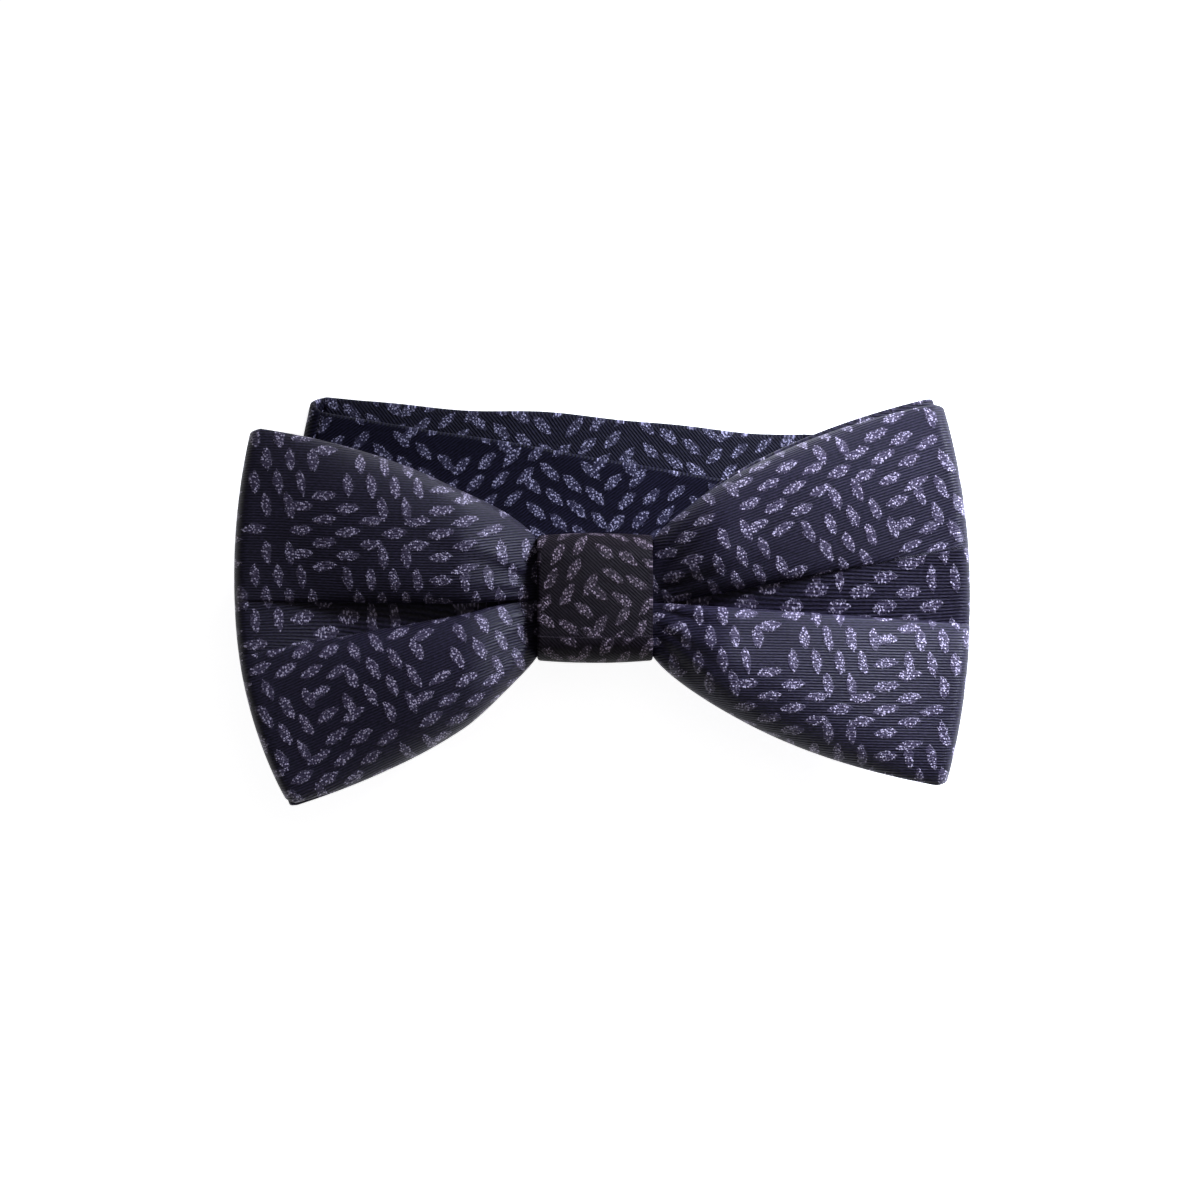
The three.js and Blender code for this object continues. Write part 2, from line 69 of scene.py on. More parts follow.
# %% Millimetres and the frame's places
MM = 0.001
CLEARANCE = 0.3  # between pieces that lie on each other
BOW_CLOTH = 0.8  # two plies of jacquard
BAND_CLOTH = 1.0


def box(node):
    """The lowest and highest corners of a CAD node, in millimetres."""
    low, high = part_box(node)
    return np.array(low) / MM, np.array(high) / MM


def joint(name):
    """A joint's place and axis, in millimetres."""
    found = [j for j in frame["joints"] if j["name"] == name][0]
    return np.array(found.get("pos_m", [0, 0, 0])) / MM, np.array(found["axis"])


knot_low, knot_high = box("knot_wrap")
KNOT = (knot_low + knot_high) / 2
KNOT_HALF = (knot_high[0] - knot_low[0]) / 2
print("the knot's centre, in mm:", KNOT.round(2))

# %% [markdown]
# ## A small language for shader maths
# A material is a graph of nodes, and its sums are easier to read as sums. `Socket` wraps an output, so that
# `1 - mask` or `a * b` adds the Math node. Every other node comes from `Paint.node`, which sets the node's
# settings first and then its sockets.


# %% Socket and Paint
class Socket:
    """One output of a shader node, as a number in a sum."""

    def __init__(self, paint, out):
        self.paint = paint
        self.out = out

    def maths(self, operation, *values):
        return self.paint.node("ShaderNodeMath", {"operation": operation}, dict(enumerate(values)))

    def __add__(self, other):
        return self.maths("ADD", self, other)

    def __sub__(self, other):
        return self.maths("SUBTRACT", self, other)

    def __rsub__(self, other):
        return self.maths("SUBTRACT", other, self)

    def __mul__(self, other):
        return self.maths("MULTIPLY", self, other)

    def __truediv__(self, other):
        return self.maths("DIVIDE", self, other)

    def __abs__(self):
        return self.maths("ABSOLUTE", self)

    __radd__ = __add__
    __rmul__ = __mul__

    def floor(self):
        return self.maths("FLOOR", self)

    def fract(self):
        return self.maths("FRACT", self)

    def power(self, exponent):
        return self.maths("POWER", self, exponent)

    def clamped(self):
        return self.maths("MAXIMUM", self.maths("MINIMUM", self, 1.0), 0.0)


class Paint:
    """A new material and the nodes that are added to it."""

    def __init__(self, name):
        self.material = bpy.data.materials.new(name)
        self.material.use_nodes = True
        self.tree = self.material.node_tree
        self.shader = self.tree.nodes["Principled BSDF"]

    def node(self, kind, settings=None, inputs=None, output=0):
        made = self.tree.nodes.new(kind)
        for key, value in (settings or {}).items():
            setattr(made, key, value)
        for key, value in (inputs or {}).items():
            self.feed(made.inputs[key], value)
        return Socket(self, made.outputs[output])

    def feed(self, socket, value):
        if isinstance(value, Socket):
            self.tree.links.new(value.out, socket)
        else:
            socket.default_value = value

    def mix(self, factor, a, b):
        """A colour between a and b."""
        settings = {"data_type": "RGBA"}
        return self.node("ShaderNodeMix", settings, {0: factor, 6: a, 7: b}, 2)

    def split(self, vector):
        """The X and Y of a vector."""
        parts = self.node("ShaderNodeSeparateXYZ", None, {0: vector}).out.node
        return Socket(self, parts.outputs["X"]), Socket(self, parts.outputs["Y"])

    def set(self, **sockets):
        for key, value in sockets.items():
            self.feed(self.shader.inputs[key.replace("_", " ")], value)

    def bump(self, height, distance, strength=1.0):
        inputs = {"Height": height, "Distance": distance, "Strength": strength}
        self.set(Normal=self.node("ShaderNodeBump", None, inputs))


# %% [markdown]
# ## The jacquard
# The cloth is woven with a fine rib along its length, and small leaves of pale thread float on the dark
# ground. The leaves stand in diamonds: in one diamond they lie along the rib, in the next across it, so
# that they make stars where four points meet, and rings between the stars. The pattern is worked out from
# an attribute called cloth, which holds each point's place on the flat cloth in millimetres, so it follows
# every fold.

# %% The jacquard's sizes
DIAMOND = 19.0  # from one star to the next
BORDER = 0.3  # a leaf centred on a diamond's border goes to the one beyond it
LEAF_STEP = 3.8  # from leaf to leaf along their length
LEAF_ROW = 3.8  # and across it
LEAF_HALF = 2.3  # half a leaf's length
LEAF_WIDE = 0.88  # half its width
LEAF_TILT = 0.18  # how far a leaf may lean, as rise over run
LEAF_BLUNT = 2.6  # how blunt a leaf's ends are
LEAF_EDGE = 4.5  # how sharp its edge is
WOBBLE = 0.9  # how far its middle line wanders
FRAY = 0.8  # how ragged its edge is
RIB = 0.46  # from rib to rib
FLOATS = 2.6  # how fine the specks in a leaf are
THREADS = (1.6, 6.0, 1.0)  # how fine the threads are, along and across the rib
WEAVE_DEPTH = 0.16  # the relief of the weave


def cloth_place(paint):
    """The place on the flat cloth in millimetres: the vector, then along and across the rib."""
    settings = {"attribute_type": "GEOMETRY", "attribute_name": "cloth"}
    place = paint.node("ShaderNodeAttribute", settings, None, "Vector")
    return place, *paint.split(place)


def noise(paint, place, scale, detail=2.0):
    inputs = {"Vector": place, "Scale": scale, "Detail": detail}
    return paint.node("ShaderNodeTexNoise", None, inputs, "Fac")


def parity(x, y):
    """0 in the diamonds whose leaves lie along the rib, and 1 in the others."""
    u = ((x + y + BORDER) / DIAMOND).floor()
    v = ((x - y + BORDER) / DIAMOND).floor()
    return ((u + v) * 0.5).fract() * 2.0


def leaves(paint, place, along, across, crosswise, column):
    """1 in the leaves of every other column. A leaf's centre says which diamond it is in, so it is whole."""
    pair = (along / LEAF_STEP - column) * 0.5
    centre_along = (pair.floor() * 2.0 + (column + 1.0)) * LEAF_STEP
    row = across / LEAF_ROW + column * 0.5
    centre_across = (row.floor() + (0.5 - column * 0.5)) * LEAF_ROW
    if crosswise:
        kept = parity(centre_across, centre_along)
    else:
        kept = 1.0 - parity(centre_along, centre_across)
    numbers = {0: pair.floor(), 1: row.floor(), 2: crosswise + 2.0 * column}
    leaf_id = paint.node("ShaderNodeCombineXYZ", None, numbers)
    settings = {"noise_dimensions": "3D"}
    chance = paint.node("ShaderNodeTexWhiteNoise", settings, {"Vector": leaf_id}, "Value")
    wobble = noise(paint, place, 0.6) - 0.5
    leaf_along = along - centre_along
    lean = (chance * 0.6 + 0.4) * leaf_along * (LEAF_TILT if crosswise else -LEAF_TILT)
    leaf_across = across - centre_across + wobble * WOBBLE + lean
    rounded = (abs(leaf_along) / (LEAF_HALF * (0.86 + chance * 0.14))).power(LEAF_BLUNT)
    inside = 1.0 - rounded - abs(leaf_across) / LEAF_WIDE
    edge = noise(paint, place, 3.2, 1.0) - 0.5
    return ((inside + edge * FRAY) * LEAF_EDGE).clamped() * kept


def jacquard(name, ground, ground_light, leaf, leaf_light, gloss):
    """A ribbed jacquard with pale leaves. The colours are linear RGB."""
    paint = Paint(name)
    place, x, y = cloth_place(paint)
    leafy = leaves(paint, place, x, y, 0.0, 0.0)
    for along, across, crosswise, column in ((x, y, 0.0, 1.0), (y, x, 1.0, 0.0), (y, x, 1.0, 1.0)):
        leafy = leafy.maths("MAXIMUM", leafy, leaves(paint, place, along, across, crosswise, column))

    scale = {"Vector": place, "Scale": FLOATS}
    speck = paint.node("ShaderNodeTexVoronoi", {"feature": "F1"}, scale, "Distance")
    speckle = ((0.44 - speck) * 6.0).clamped()
    rib = abs((y / RIB).fract() - 0.5) * 2.0
    rib_line = (rib * 1.5 - 0.35).clamped()
    threads = paint.node("ShaderNodeVectorMath", {"operation": "MULTIPLY"}, {0: place, 1: THREADS})
    pick = noise(paint, threads, 1.0, 1.0)
    shade = noise(paint, place, 0.11, 3.0)

    # Tones run from 0, the darker colour, to 1, the lighter.
    ground_tone = (rib_line * 0.5 + (pick - 0.45) * 1.6).clamped() * (0.5 + shade)
    leaf_tone = (speckle * 0.75 + (pick - 0.5) * 0.8).clamped()
    dark = paint.mix(ground_tone, ground, ground_light)
    pale = paint.mix(leaf_tone, leaf, leaf_light)
    paint.set(Base_Color=paint.mix(leafy, dark, pale))
    paint.set(Roughness=0.52 - leafy * 0.12 + (pick - 0.5) * 0.1)
    paint.set(Sheen_Weight=0.1 * gloss, Sheen_Roughness=0.3, Sheen_Tint=(0.55, 0.6, 1.0, 1.0))
    paint.set(Specular_IOR_Level=gloss)
    height = rib * 0.5 + leafy * (0.5 + speckle * 0.5) + pick * 0.3
    paint.bump(height, WEAVE_DEPTH * MM, 0.9)
    return paint.material


# %% The cloths
def srgb(r, g, b):
    """A colour seen on a screen, 0 to 255, as linear RGBA."""
    linear = [((c / 255 + 0.055) / 1.055) ** 2.4 if c > 10 else c / 255 / 12.92 for c in (r, g, b)]
    return (*linear, 1.0)


bow_jacquard = jacquard("bow jacquard", srgb(13, 10, 22), srgb(46, 41, 64), srgb(52, 46, 66),
                        srgb(190, 180, 208), 0.20)
# The knot's cloth is the bow's jacquard in darker colours: the darkening is painted shade.
knot_jacquard = jacquard("knot jacquard with painted shade", srgb(11, 7, 12), srgb(31, 25, 34), srgb(36, 30, 38),
                         srgb(150, 134, 152), 0.06)
# The band's cloth is the bow's jacquard in darker colours: the darkening is painted shade.
shaded_band_jacquard = jacquard("band jacquard with painted shade", srgb(8, 7, 16), srgb(32, 30, 50), srgb(38, 36, 54),
                         srgb(168, 164, 196), 0.07)


# %% [markdown]
# ## Canvas, felt, thread and nickel
# The plain materials are woven or brushed too: canvas from two crossed waves, felt from noise, thread from
# a twist, and nickel from faint scratches that only change its gloss.

# %% The plain materials
def canvas(name, dark, light):
    paint = Paint(name)
    place, x, y = cloth_place(paint)
    warp = abs((x / 0.5).fract() - 0.5) * 2.0
    weft = abs((y / 0.5).fract() - 0.5) * 2.0
    weave = (warp + weft) * 0.5
    uneven = noise(paint, place, 1.2, 3.0)
    paint.set(Base_Color=paint.mix((weave * 0.6 + uneven * 0.5).clamped(), dark, light))
    paint.set(Roughness=0.82 + uneven * 0.12)
    paint.bump(weave + uneven * 0.4, 0.0001, 0.8)
    return paint.material


def object_place(paint):
    """The object's own coordinates, in millimetres."""
    place = paint.node("ShaderNodeTexCoord", None, None, "Object")
    settings = {"operation": "MULTIPLY"}
    return paint.node("ShaderNodeVectorMath", settings, {0: place, 1: (1 / MM,) * 3})


def felt(name, dark, light):
    paint = Paint(name)
    fibres = noise(paint, object_place(paint), 1.4, 6.0)
    paint.set(Base_Color=paint.mix(fibres, dark, light), Roughness=0.9 + fibres * 0.1)
    paint.bump(fibres, 0.0003, 0.8)
    return paint.material


def twisted(name, dark, light):
    paint = Paint(name)
    x, y = paint.split(object_place(paint))
    ply = abs(((x + y) * 2.6).fract() - 0.5) * 2.0
    paint.set(Base_Color=paint.mix(ply, dark, light), Roughness=0.75 - ply * 0.15)
    paint.bump(ply, 0.00005, 0.7)
    return paint.material


def nickel(name):
    paint = Paint(name)
    place = object_place(paint)
    worn = noise(paint, place, 0.8, 4.0)
    fine = noise(paint, place, 9.0, 2.0)
    colour = paint.mix(worn, (0.56, 0.55, 0.53, 1), (0.72, 0.71, 0.69, 1))
    paint.set(Base_Color=colour, Metallic=1.0, Roughness=0.16 + worn * 0.14 + fine * 0.06)
    paint.bump(fine, 0.00001, 0.35)
    return paint.material


interlining_canvas = canvas("interlining canvas", srgb(190, 184, 168), srgb(232, 228, 214))
wadding_felt = felt("wadding felt", srgb(205, 202, 190), srgb(238, 236, 228))
sewing_thread = twisted("sewing thread", srgb(28, 25, 42), srgb(70, 65, 92))
bright_nickel = nickel("bright nickel")
print("materials:", len(bpy.data.materials))


# %% [markdown]
# ## Sheets of cloth
# Every cloth piece here is a sheet of even thickness. It is worked out as a grid of points on its middle
# surface, and `sheet_mesh` gives the grid its two faces and a rounded edge, as folded cloth has. The grid
# carries the cloth attribute with it.

# %% A sheet from a grid
EDGE_STEPS = 4  # faces round an edge


def placed(name, data):
    """A new object at the origin, in the scene."""
    made = bpy.data.objects.new(name, data)
    bpy.context.scene.collection.objects.link(made)
    return made


def unit(vectors):
    return vectors / np.maximum(np.linalg.norm(vectors, axis=-1, keepdims=True), 1e-9)


def new_object(name, points, faces, material, cloth=None):
    """A closed mesh in place, with points in millimetres."""
    mesh = bpy.data.meshes.new(name)
    mesh.from_pydata((points * MM).tolist(), [], faces)
    if cloth is not None:
        places = np.zeros((len(points), 3))
        places[:, :2] = cloth
        attribute = mesh.attributes.new("cloth", "FLOAT_VECTOR", "POINT")
        attribute.data.foreach_set("vector", places.ravel())
    mesh.polygons.foreach_set("use_smooth", [True] * len(mesh.polygons))
    mesh.materials.append(material)
    mesh.update()
    return placed(name, mesh)


def sheet_mesh(name, grid, cloth, thick, material, loop=False):
    """A closed sheet about grid, (n, m, 3), with its front towards along x across."""
    n, m = grid.shape[:2]
    if loop:
        along = np.roll(grid, -1, 0) - np.roll(grid, 1, 0)
    else:
        along = np.gradient(grid, axis=0)
    across = np.gradient(grid, axis=1)
    normal = unit(np.cross(along, across))
    half = thick / 2
    turns = [math.pi * k / (EDGE_STEPS + 1) for k in range(1, EDGE_STEPS + 1)]

    def edge(j, outward, angles):
        out = unit(outward)
        return [grid[:, j] + half * (math.cos(a) * normal[:, j] + math.sin(a) * out) for a in angles]

    high_edge = edge(-1, across[:, -1], turns)
    low_edge = edge(0, -across[:, 0], turns[::-1])
    columns = [grid[:, j] + half * normal[:, j] for j in range(m)] + high_edge
    columns += [grid[:, j] - half * normal[:, j] for j in reversed(range(m))] + low_edge
    ring = len(columns)
    points = np.stack(columns, 1)
    places = [cloth[:, j] for j in range(m)]
    places = places + [cloth[:, -1]] * EDGE_STEPS + places[::-1] + [cloth[:, 0]] * EDGE_STEPS
    places = np.stack(places, 1)
    faces = []
    for i in range(n if loop else n - 1):
        a, b = i * ring, ((i + 1) % n) * ring
        faces += [(a + k, b + k, b + (k + 1) % ring, a + (k + 1) % ring) for k in range(ring)]
    if not loop:
        back = m + EDGE_STEPS  # the first point of the back face, over the high edge
        for start, flip in ((0, 1), ((n - 1) * ring, -1)):
            ends = [(j, j + 1, back + m - 2 - j, back + m - 1 - j) for j in range(m - 1)]
            ends.append(tuple(range(m - 1, back + 1)))
            ends.append(tuple(range(back + m - 1, ring)) + (0,))
            faces += [tuple(start + k for k in face[::flip]) for face in ends]
    return new_object(name, points.reshape(-1, 3), faces, material, places.reshape(-1, 2))


def turned(cloth, degrees, centre, phase):
    """Places on the cloth, turned so that the rib runs at an angle and centre lands on phase."""
    a = math.radians(degrees)
    d = cloth - np.array(centre)
    return np.stack([d[..., 0] * math.cos(a) + d[..., 1] * math.sin(a) + phase[0],
                     -d[..., 0] * math.sin(a) + d[..., 1] * math.cos(a) + phase[1]], -1)


STAR = (0.0, 0.0)
RING = (DIAMOND / 2, DIAMOND / 2)


def smooth(x, a, b):
    t = np.clip((x - a) / (b - a), 0, 1)
    return t * t * (3 - 2 * t)


def lerp(a, b, t):
    return a + (b - a) * t


# %% [markdown]
# ## The bows
# Each bow is one band of cloth laid in a flat loop. Where the knot gathers it, the front of a wing folds
# into an upper and a lower lobe with a deep crease between them, and away from the knot the crease opens
# and grows shallow. A wing is therefore a row of cross-sections: each is an upper lobe, the crease's floor
# and a lower lobe, and its measures change smoothly from the knot to the wing's end.

# %% The bow's measures
front_low, front_high = box("front_bow")
back_low, back_high = box("back_bow")
thread_low, thread_high = box("gathering_thread")
THREAD_WALL = 0.4
WAIST_BACK = front_low[2] + BOW_CLOTH / 2  # the front bow's back layer in the knot
WAIST_FRONT = thread_high[2] - THREAD_WALL - CLEARANCE - BOW_CLOTH / 2
WAIST_HALF = (thread_high[1] - thread_low[1]) / 2 - THREAD_WALL - CLEARANCE - 0.1
BOW_HEIGHT = 60.4
CROWN = front_high[2] - BOW_CLOTH / 2  # the highest middle of the front bow's lobes
LOBE = 6.4  # from a wing's back layer to the crown of its lobes
WING_BACK = CROWN - LOBE
FLOOR = 1.5  # from the back layer to the crease's floor
FLARE = 34.0  # how soon the wings spread from the knot
BOW_HALF = 58.0  # where they reach their full height
RISE = 13.7  # how far from the knot the back layers reach their level
TURN = 1.5  # half the depth of the turned end of a wing

# reach is from the knot's middle, and tilt is in degrees. tips is how far the lower and the upper corner fall
# short of the wing's end. crease is the crease's y at the knot and at the end, and half its gap at the end.
# rolls is how far the upper and the lower lobe roll over it, shallow is where it fades out, and ramp slopes
# its upper side. upper and lower place each lobe's pattern: an angle, a point of the cloth, and what of the
# pattern is there. floor_like says which of the two the crease's floor follows.
LEFT_WING = {
    "side": -1, "reach": 58.7, "tilt": 3.2, "tips": (6.4, 4.0),
    "crease": (-0.3, -1.6, 4.6), "rolls": (1.0, 0.3), "shallow": (0.62, 1.05), "ramp": 0.0,
    "upper": (-3.2, (-32.1, 13.2), STAR), "lower": (18.0, (-43.4, -14.7), RING), "floor_like": "upper",
}
RIGHT_WING = {
    "side": 1, "reach": 61.2, "tilt": 0.5, "tips": (4.0, 4.0),
    "crease": (-1.0, 1.4, 6.4), "rolls": (0.0, 0.9), "shallow": (0.85, 1.5), "ramp": 0.95,
    "upper": (17.0, (39.9, 20.4), STAR), "lower": (-0.5, (39.7, -19.2), STAR), "floor_like": "lower",
}


def half_height(x):
    """Half a bow's height at a distance from the middle of the knot."""
    past = np.maximum(np.abs(x) - KNOT_HALF + CLEARANCE, 0)
    spread = (1 - np.exp(-past / FLARE)) / (1 - np.exp(-(BOW_HALF - KNOT_HALF) / FLARE))
    gather = 1 - np.exp(-past / 1.5)
    return WAIST_HALF + gather + (BOW_HEIGHT / 2 - WAIST_HALF - 1) * spread


def level_back(x):
    return lerp(WAIST_BACK, WING_BACK, smooth(x, KNOT_HALF, KNOT_HALF + RISE))


# %% A wing's cross-section
LOBE_STEPS = 36
FLOOR_STEPS = 14
ROLL_STEPS = 5
LOBE_START = 1.3  # how far inside the knot's edge a lobe starts to rise
LOBE_RUN = 15.0  # and how far it rises for
END_FADE = 0.34  # how much lower a lobe is at the wing's end, as a share
CREASE_LEFT = 0.7  # the depth that a shallow crease keeps


def softened(values, width):
    """Values along a line, averaged with their neighbours, with the two ends kept."""
    reach = int(3 * width)
    weights = np.exp(-0.5 * (np.arange(-reach, reach + 1) / width) ** 2)
    low = 2 * values[0] - values[1:reach + 1][::-1]
    high = 2 * values[-1] - values[-reach - 1:-1][::-1]
    return np.convolve(np.concatenate([low, values, high]), weights / weights.sum(), "valid")


def lobe(outer, inner, floor, out_level, crown, roll, plump):
    """One lobe from its outer edge to the crease, as y and z, with the roll under its inner edge."""
    angle = np.linspace(0, math.pi, LOBE_STEPS)
    t = (1 - np.cos(angle)) / 2
    in_level = lerp(floor, crown, 0.35 * roll + 0.12)
    y = lerp(outer, inner, t)
    z = lerp(out_level, in_level, t)
    z = z + (crown - z) * np.sin(angle) ** plump
    under = np.linspace(0, math.pi / 2, ROLL_STEPS + 1)[1:]
    way = math.copysign(1.7 * roll, outer - inner)
    y_under = inner + way * (1 - np.cos(under))
    z_under = in_level - (in_level - floor) * np.sin(under)
    return np.concatenate([y, y_under]), np.concatenate([z, z_under])


def cross_section(wing, x):
    """y, z and the cloth's own across-coordinate, from the lower edge to the upper one."""
    reach = wing["reach"]
    share = np.clip((x - KNOT_HALF) / (reach - KNOT_HALF), 0, 1)
    height = half_height(x)
    near, far, gap = wing["crease"]
    middle = lerp(near, far, share)
    open_half = gap * share
    back = level_back(x)
    rise = math.sin(math.pi / 2 * min(max((x - KNOT_HALF + LOBE_START) / LOBE_RUN, 0), 1))
    fade = 1 - END_FADE * smooth(x, 0.5 * reach, reach)
    crown = back + lerp(WAIST_FRONT - WAIST_BACK, LOBE, rise * fade)
    shallow = smooth(share, *wing["shallow"])
    floor = back + lerp(FLOOR, crown - back - CREASE_LEFT, shallow)
    edge = back + lerp(FLOOR, 2 * TURN, smooth(share, 0.55, 1.0))
    out_level = np.minimum(edge, crown)
    plump = lerp(0.8, 1.25, share)
    upper_roll, lower_roll = [r * (1 - shallow) for r in wing["rolls"]]
    upper_floor = lerp(floor, crown, wing["ramp"] * share)
    high_y, high_z = lobe(height, middle + open_half, upper_floor, out_level, crown, upper_roll, plump)
    low_y, low_z = lobe(-height, middle - open_half, floor, out_level, crown, lower_roll, plump)
    t = np.linspace(0, 1, FLOOR_STEPS + 2)[1:-1]
    y = np.concatenate([low_y, lerp(low_y[-1], high_y[-1], t), high_y[::-1]])
    z = np.concatenate([low_z, lerp(low_z[-1], high_z[-1], t), high_z[::-1]])
    y, z = softened(y, 1.2), softened(z, 1.2)
    run = np.concatenate([[0], np.cumsum(np.hypot(np.diff(y), np.diff(z)))])
    low_fold, high_fold = LOBE_STEPS - 1, len(y) - LOBE_STEPS
    v = np.empty(len(y))
    v[:low_fold + 1] = y[low_fold] - (run[low_fold] - run[:low_fold + 1])
    v[high_fold:] = y[high_fold] + (run[high_fold:] - run[high_fold])
    between = slice(low_fold, high_fold + 1)
    part = (run[between] - run[low_fold]) / (run[high_fold] - run[low_fold])
    v[between] = lerp(v[low_fold], v[high_fold], part)
    return y, z, v


# %% Creases and unevenness
FAN = ((13, 1, 0, 1.0), (23, 2, 1, 0.6), (37, 1, 0, 0.4))  # folds round the knot, seed times, offset, height
FAN_HEIGHT = 0.36
FAN_REACH = 9.0
SLOW_HEIGHT = 0.3


def ripples(x, y, seed):
    """Soft folds that fan out from the knot, and a slow unevenness over a wing, in mm."""
    fan = np.arctan2(y, np.maximum(x - 4, 1))
    pleats = sum(high * np.sin(fan * folds + times * seed + offset) for folds, times, offset, high in FAN)
    near = np.exp(-np.maximum(x - KNOT_HALF, 0) / FAN_REACH)
    slow = np.sin(x / 7.3 + y / 11 + seed) * np.sin(y / 6.1 - x / 17 + 2 * seed)
    return FAN_HEIGHT * near * pleats + SLOW_HEIGHT * slow * (1 - near)


# %% The front bow's grid
WING_STEPS = 96
TURN_STEPS = 9
KNOT_STEPS = 10
SEAM_STEPS = 4  # rows from a wing's back layer to the seam
SEAM_HALF = 0.3  # half the gap between the two ends at the seam
SEAM_CLOTH = 2.5  # cloth that goes into each of those rows


def in_row(points, wing):
    """Points (x outwards, y, z) of a wing, turned by its tilt and put in place."""
    x = wing["side"] * points[..., 0]
    a = math.radians(wing["tilt"]) * smooth(points[..., 0], KNOT_HALF, KNOT_HALF + RISE)
    turned_x = x * np.cos(a) - points[..., 1] * np.sin(a) + KNOT[0]
    turned_y = x * np.sin(a) + points[..., 1] * np.cos(a) + KNOT[1]
    return np.stack([turned_x, turned_y, points[..., 2]], -1)


def place_pattern(cloth, wing, folds):
    """The pattern's place on a wing: each lobe is cut from its own stretch of the cloth."""
    upper = turned(cloth, *wing["upper"])
    lower = turned(cloth, *wing["lower"])
    j = np.arange(cloth.shape[1])
    if wing["floor_like"] == "upper":
        high = smooth(j, folds[0] - 1, folds[0] + 3)
    else:
        high = smooth(j, folds[1] - 3, folds[1] + 1)
    return lerp(lower, upper, high[None, :, None])


def front_wing(wing):
    """From the knot to the wing's end over the front, round the end, and back along the back layer."""
    steps = np.linspace(0, 1, WING_STEPS) ** 1.15
    reach = wing["reach"]
    stations = [cross_section(wing, lerp(KNOT_HALF, reach, s)) for s in steps]
    share = np.clip(stations[-1][0] / half_height(reach), -1, 1)
    inset = np.where(share < 0, wing["tips"][0], wing["tips"][1]) * share ** 2
    end = reach - TURN - inset
    points, cloth = [], []
    folds = np.array([LOBE_STEPS - 1, len(share) - LOBE_STEPS])
    for s, (y, z, v) in zip(steps, stations):
        x = lerp(KNOT_HALF, end, s)
        at = np.arange(len(y))
        soft = np.minimum(1, np.minimum(abs(at - folds[0]), abs(at - folds[1])) / 9)
        rim = np.minimum(1, np.minimum(at, at[::-1]) / 5)
        z = z + ripples(x, y, 1.3 + wing["side"]) * soft * rim * min(1, s * 12)
        points.append(np.stack([x, y, z], -1))
        cloth.append(np.stack([wing["side"] * x, v], -1))
    last = points[-1]
    back_z = level_back(end)
    middle_z = (last[:, 2] + back_z) / 2
    radius = (last[:, 2] - back_z) / 2
    for k in range(1, TURN_STEPS + 1):
        a = math.pi * k / (TURN_STEPS + 1)
        x = end + TURN * math.sin(a)
        y = lerp(last[:, 1], share * half_height(end), k / (TURN_STEPS + 1))
        points.append(np.stack([x, y, middle_z + radius * math.cos(a)], -1))
        cloth.append(cloth[-1] + np.array([wing["side"] * 0.4, 0]))
    for s in steps[::-2]:
        x = lerp(KNOT_HALF, end, s)
        y = share * half_height(x)
        points.append(np.stack([x, y, level_back(x)], -1))
        cloth.append(np.stack([wing["side"] * (2 * end - x + 5), share * half_height(x)], -1))
    return in_row(np.array(points), wing), place_pattern(np.array(cloth), wing, folds)


def through_knot(left, right, z, steps):
    """The rows that join the left wing's first row to the right one's, inside the knot."""
    rows = []
    for k in range(1, steps + 1):
        t = k / (steps + 1)
        row = lerp(left, right, t)
        into = min(k, steps + 1 - k) / (steps + 1) * 4
        row[:, 2] = lerp(row[:, 2], z, min(1, into))
        rows.append(row)
    return np.array(rows)


def bow_loop(left, left_cloth, right, right_cloth, waist_front, waist_back):
    """One closed loop of cloth from two wings, from the back seam round to the back seam."""
    joining = through_knot(left[0], right[0], waist_front, KNOT_STEPS)
    join_cloth = np.array([lerp(left_cloth[0], right_cloth[0], (k + 1) / (KNOT_STEPS + 1))
                           for k in range(KNOT_STEPS)])

    def to_middle(rows, x_end):
        last = rows[-1]
        made = []
        for k in range(1, SEAM_STEPS + 1):
            row = last.copy()
            row[:, 0] = lerp(last[:, 0], x_end, k / SEAM_STEPS)
            row[:, 2] = lerp(last[:, 2], waist_back, min(1, k / 2))
            made.append(row)
        return np.array(made)

    left_tail = to_middle(left, KNOT[0] - SEAM_HALF)
    right_tail = to_middle(right, KNOT[0] + SEAM_HALF)
    shift = np.array([SEAM_CLOTH, 0])
    left_more = np.array([left_cloth[-1] - shift * k for k in range(1, SEAM_STEPS + 1)])
    right_more = np.array([right_cloth[-1] + shift * k for k in range(1, SEAM_STEPS + 1)])
    grid = np.concatenate([left_tail[::-1], left[::-1], joining, right, right_tail])
    cloth = np.concatenate([left_more[::-1], left_cloth[::-1], join_cloth, right_cloth, right_more])
    return grid, cloth


left_grid, left_cloth = front_wing(LEFT_WING)
right_grid, right_cloth = front_wing(RIGHT_WING)
grid, cloth = bow_loop(left_grid, left_cloth, right_grid, right_cloth, WAIST_FRONT, WAIST_BACK)
front_bow = sheet_mesh("front_bow_cloth", grid, cloth, BOW_CLOTH, bow_jacquard)
print("the front bow has", len(front_bow.data.polygons), "faces")


# %% [markdown]
# ## The back bow
# The back bow is the same kind of loop, a little shorter and turned. It shows as a narrow strip beyond the
# front bow's edges, so its wings have no crease: they are flat, but for the small folds that fan out from
# the knot, where the cloth is gathered.

# %% The back bow
BACK_TURN = 1.3  # degrees more than the front bow
BACK_LEVEL = back_low[2] + BOW_CLOTH / 2
BACK_LIFT = 1.6  # how far its back layer rises from the knot
BACK_SPREAD = 1.8  # between the middles of its two layers
BACK_STEPS = 44
BACK_ACROSS = 81
BACK_FULLER = 0.03  # how much wider it is than the front bow, as a share
BACK_CLOTH = 70  # how far along the cloth its back layer is from its front one
TIPS = 4.0  # how far the corners fall short of the end
GATHER = 0.45  # how high the small folds beside the knot stand
GATHERS = 10  # folds across the bow


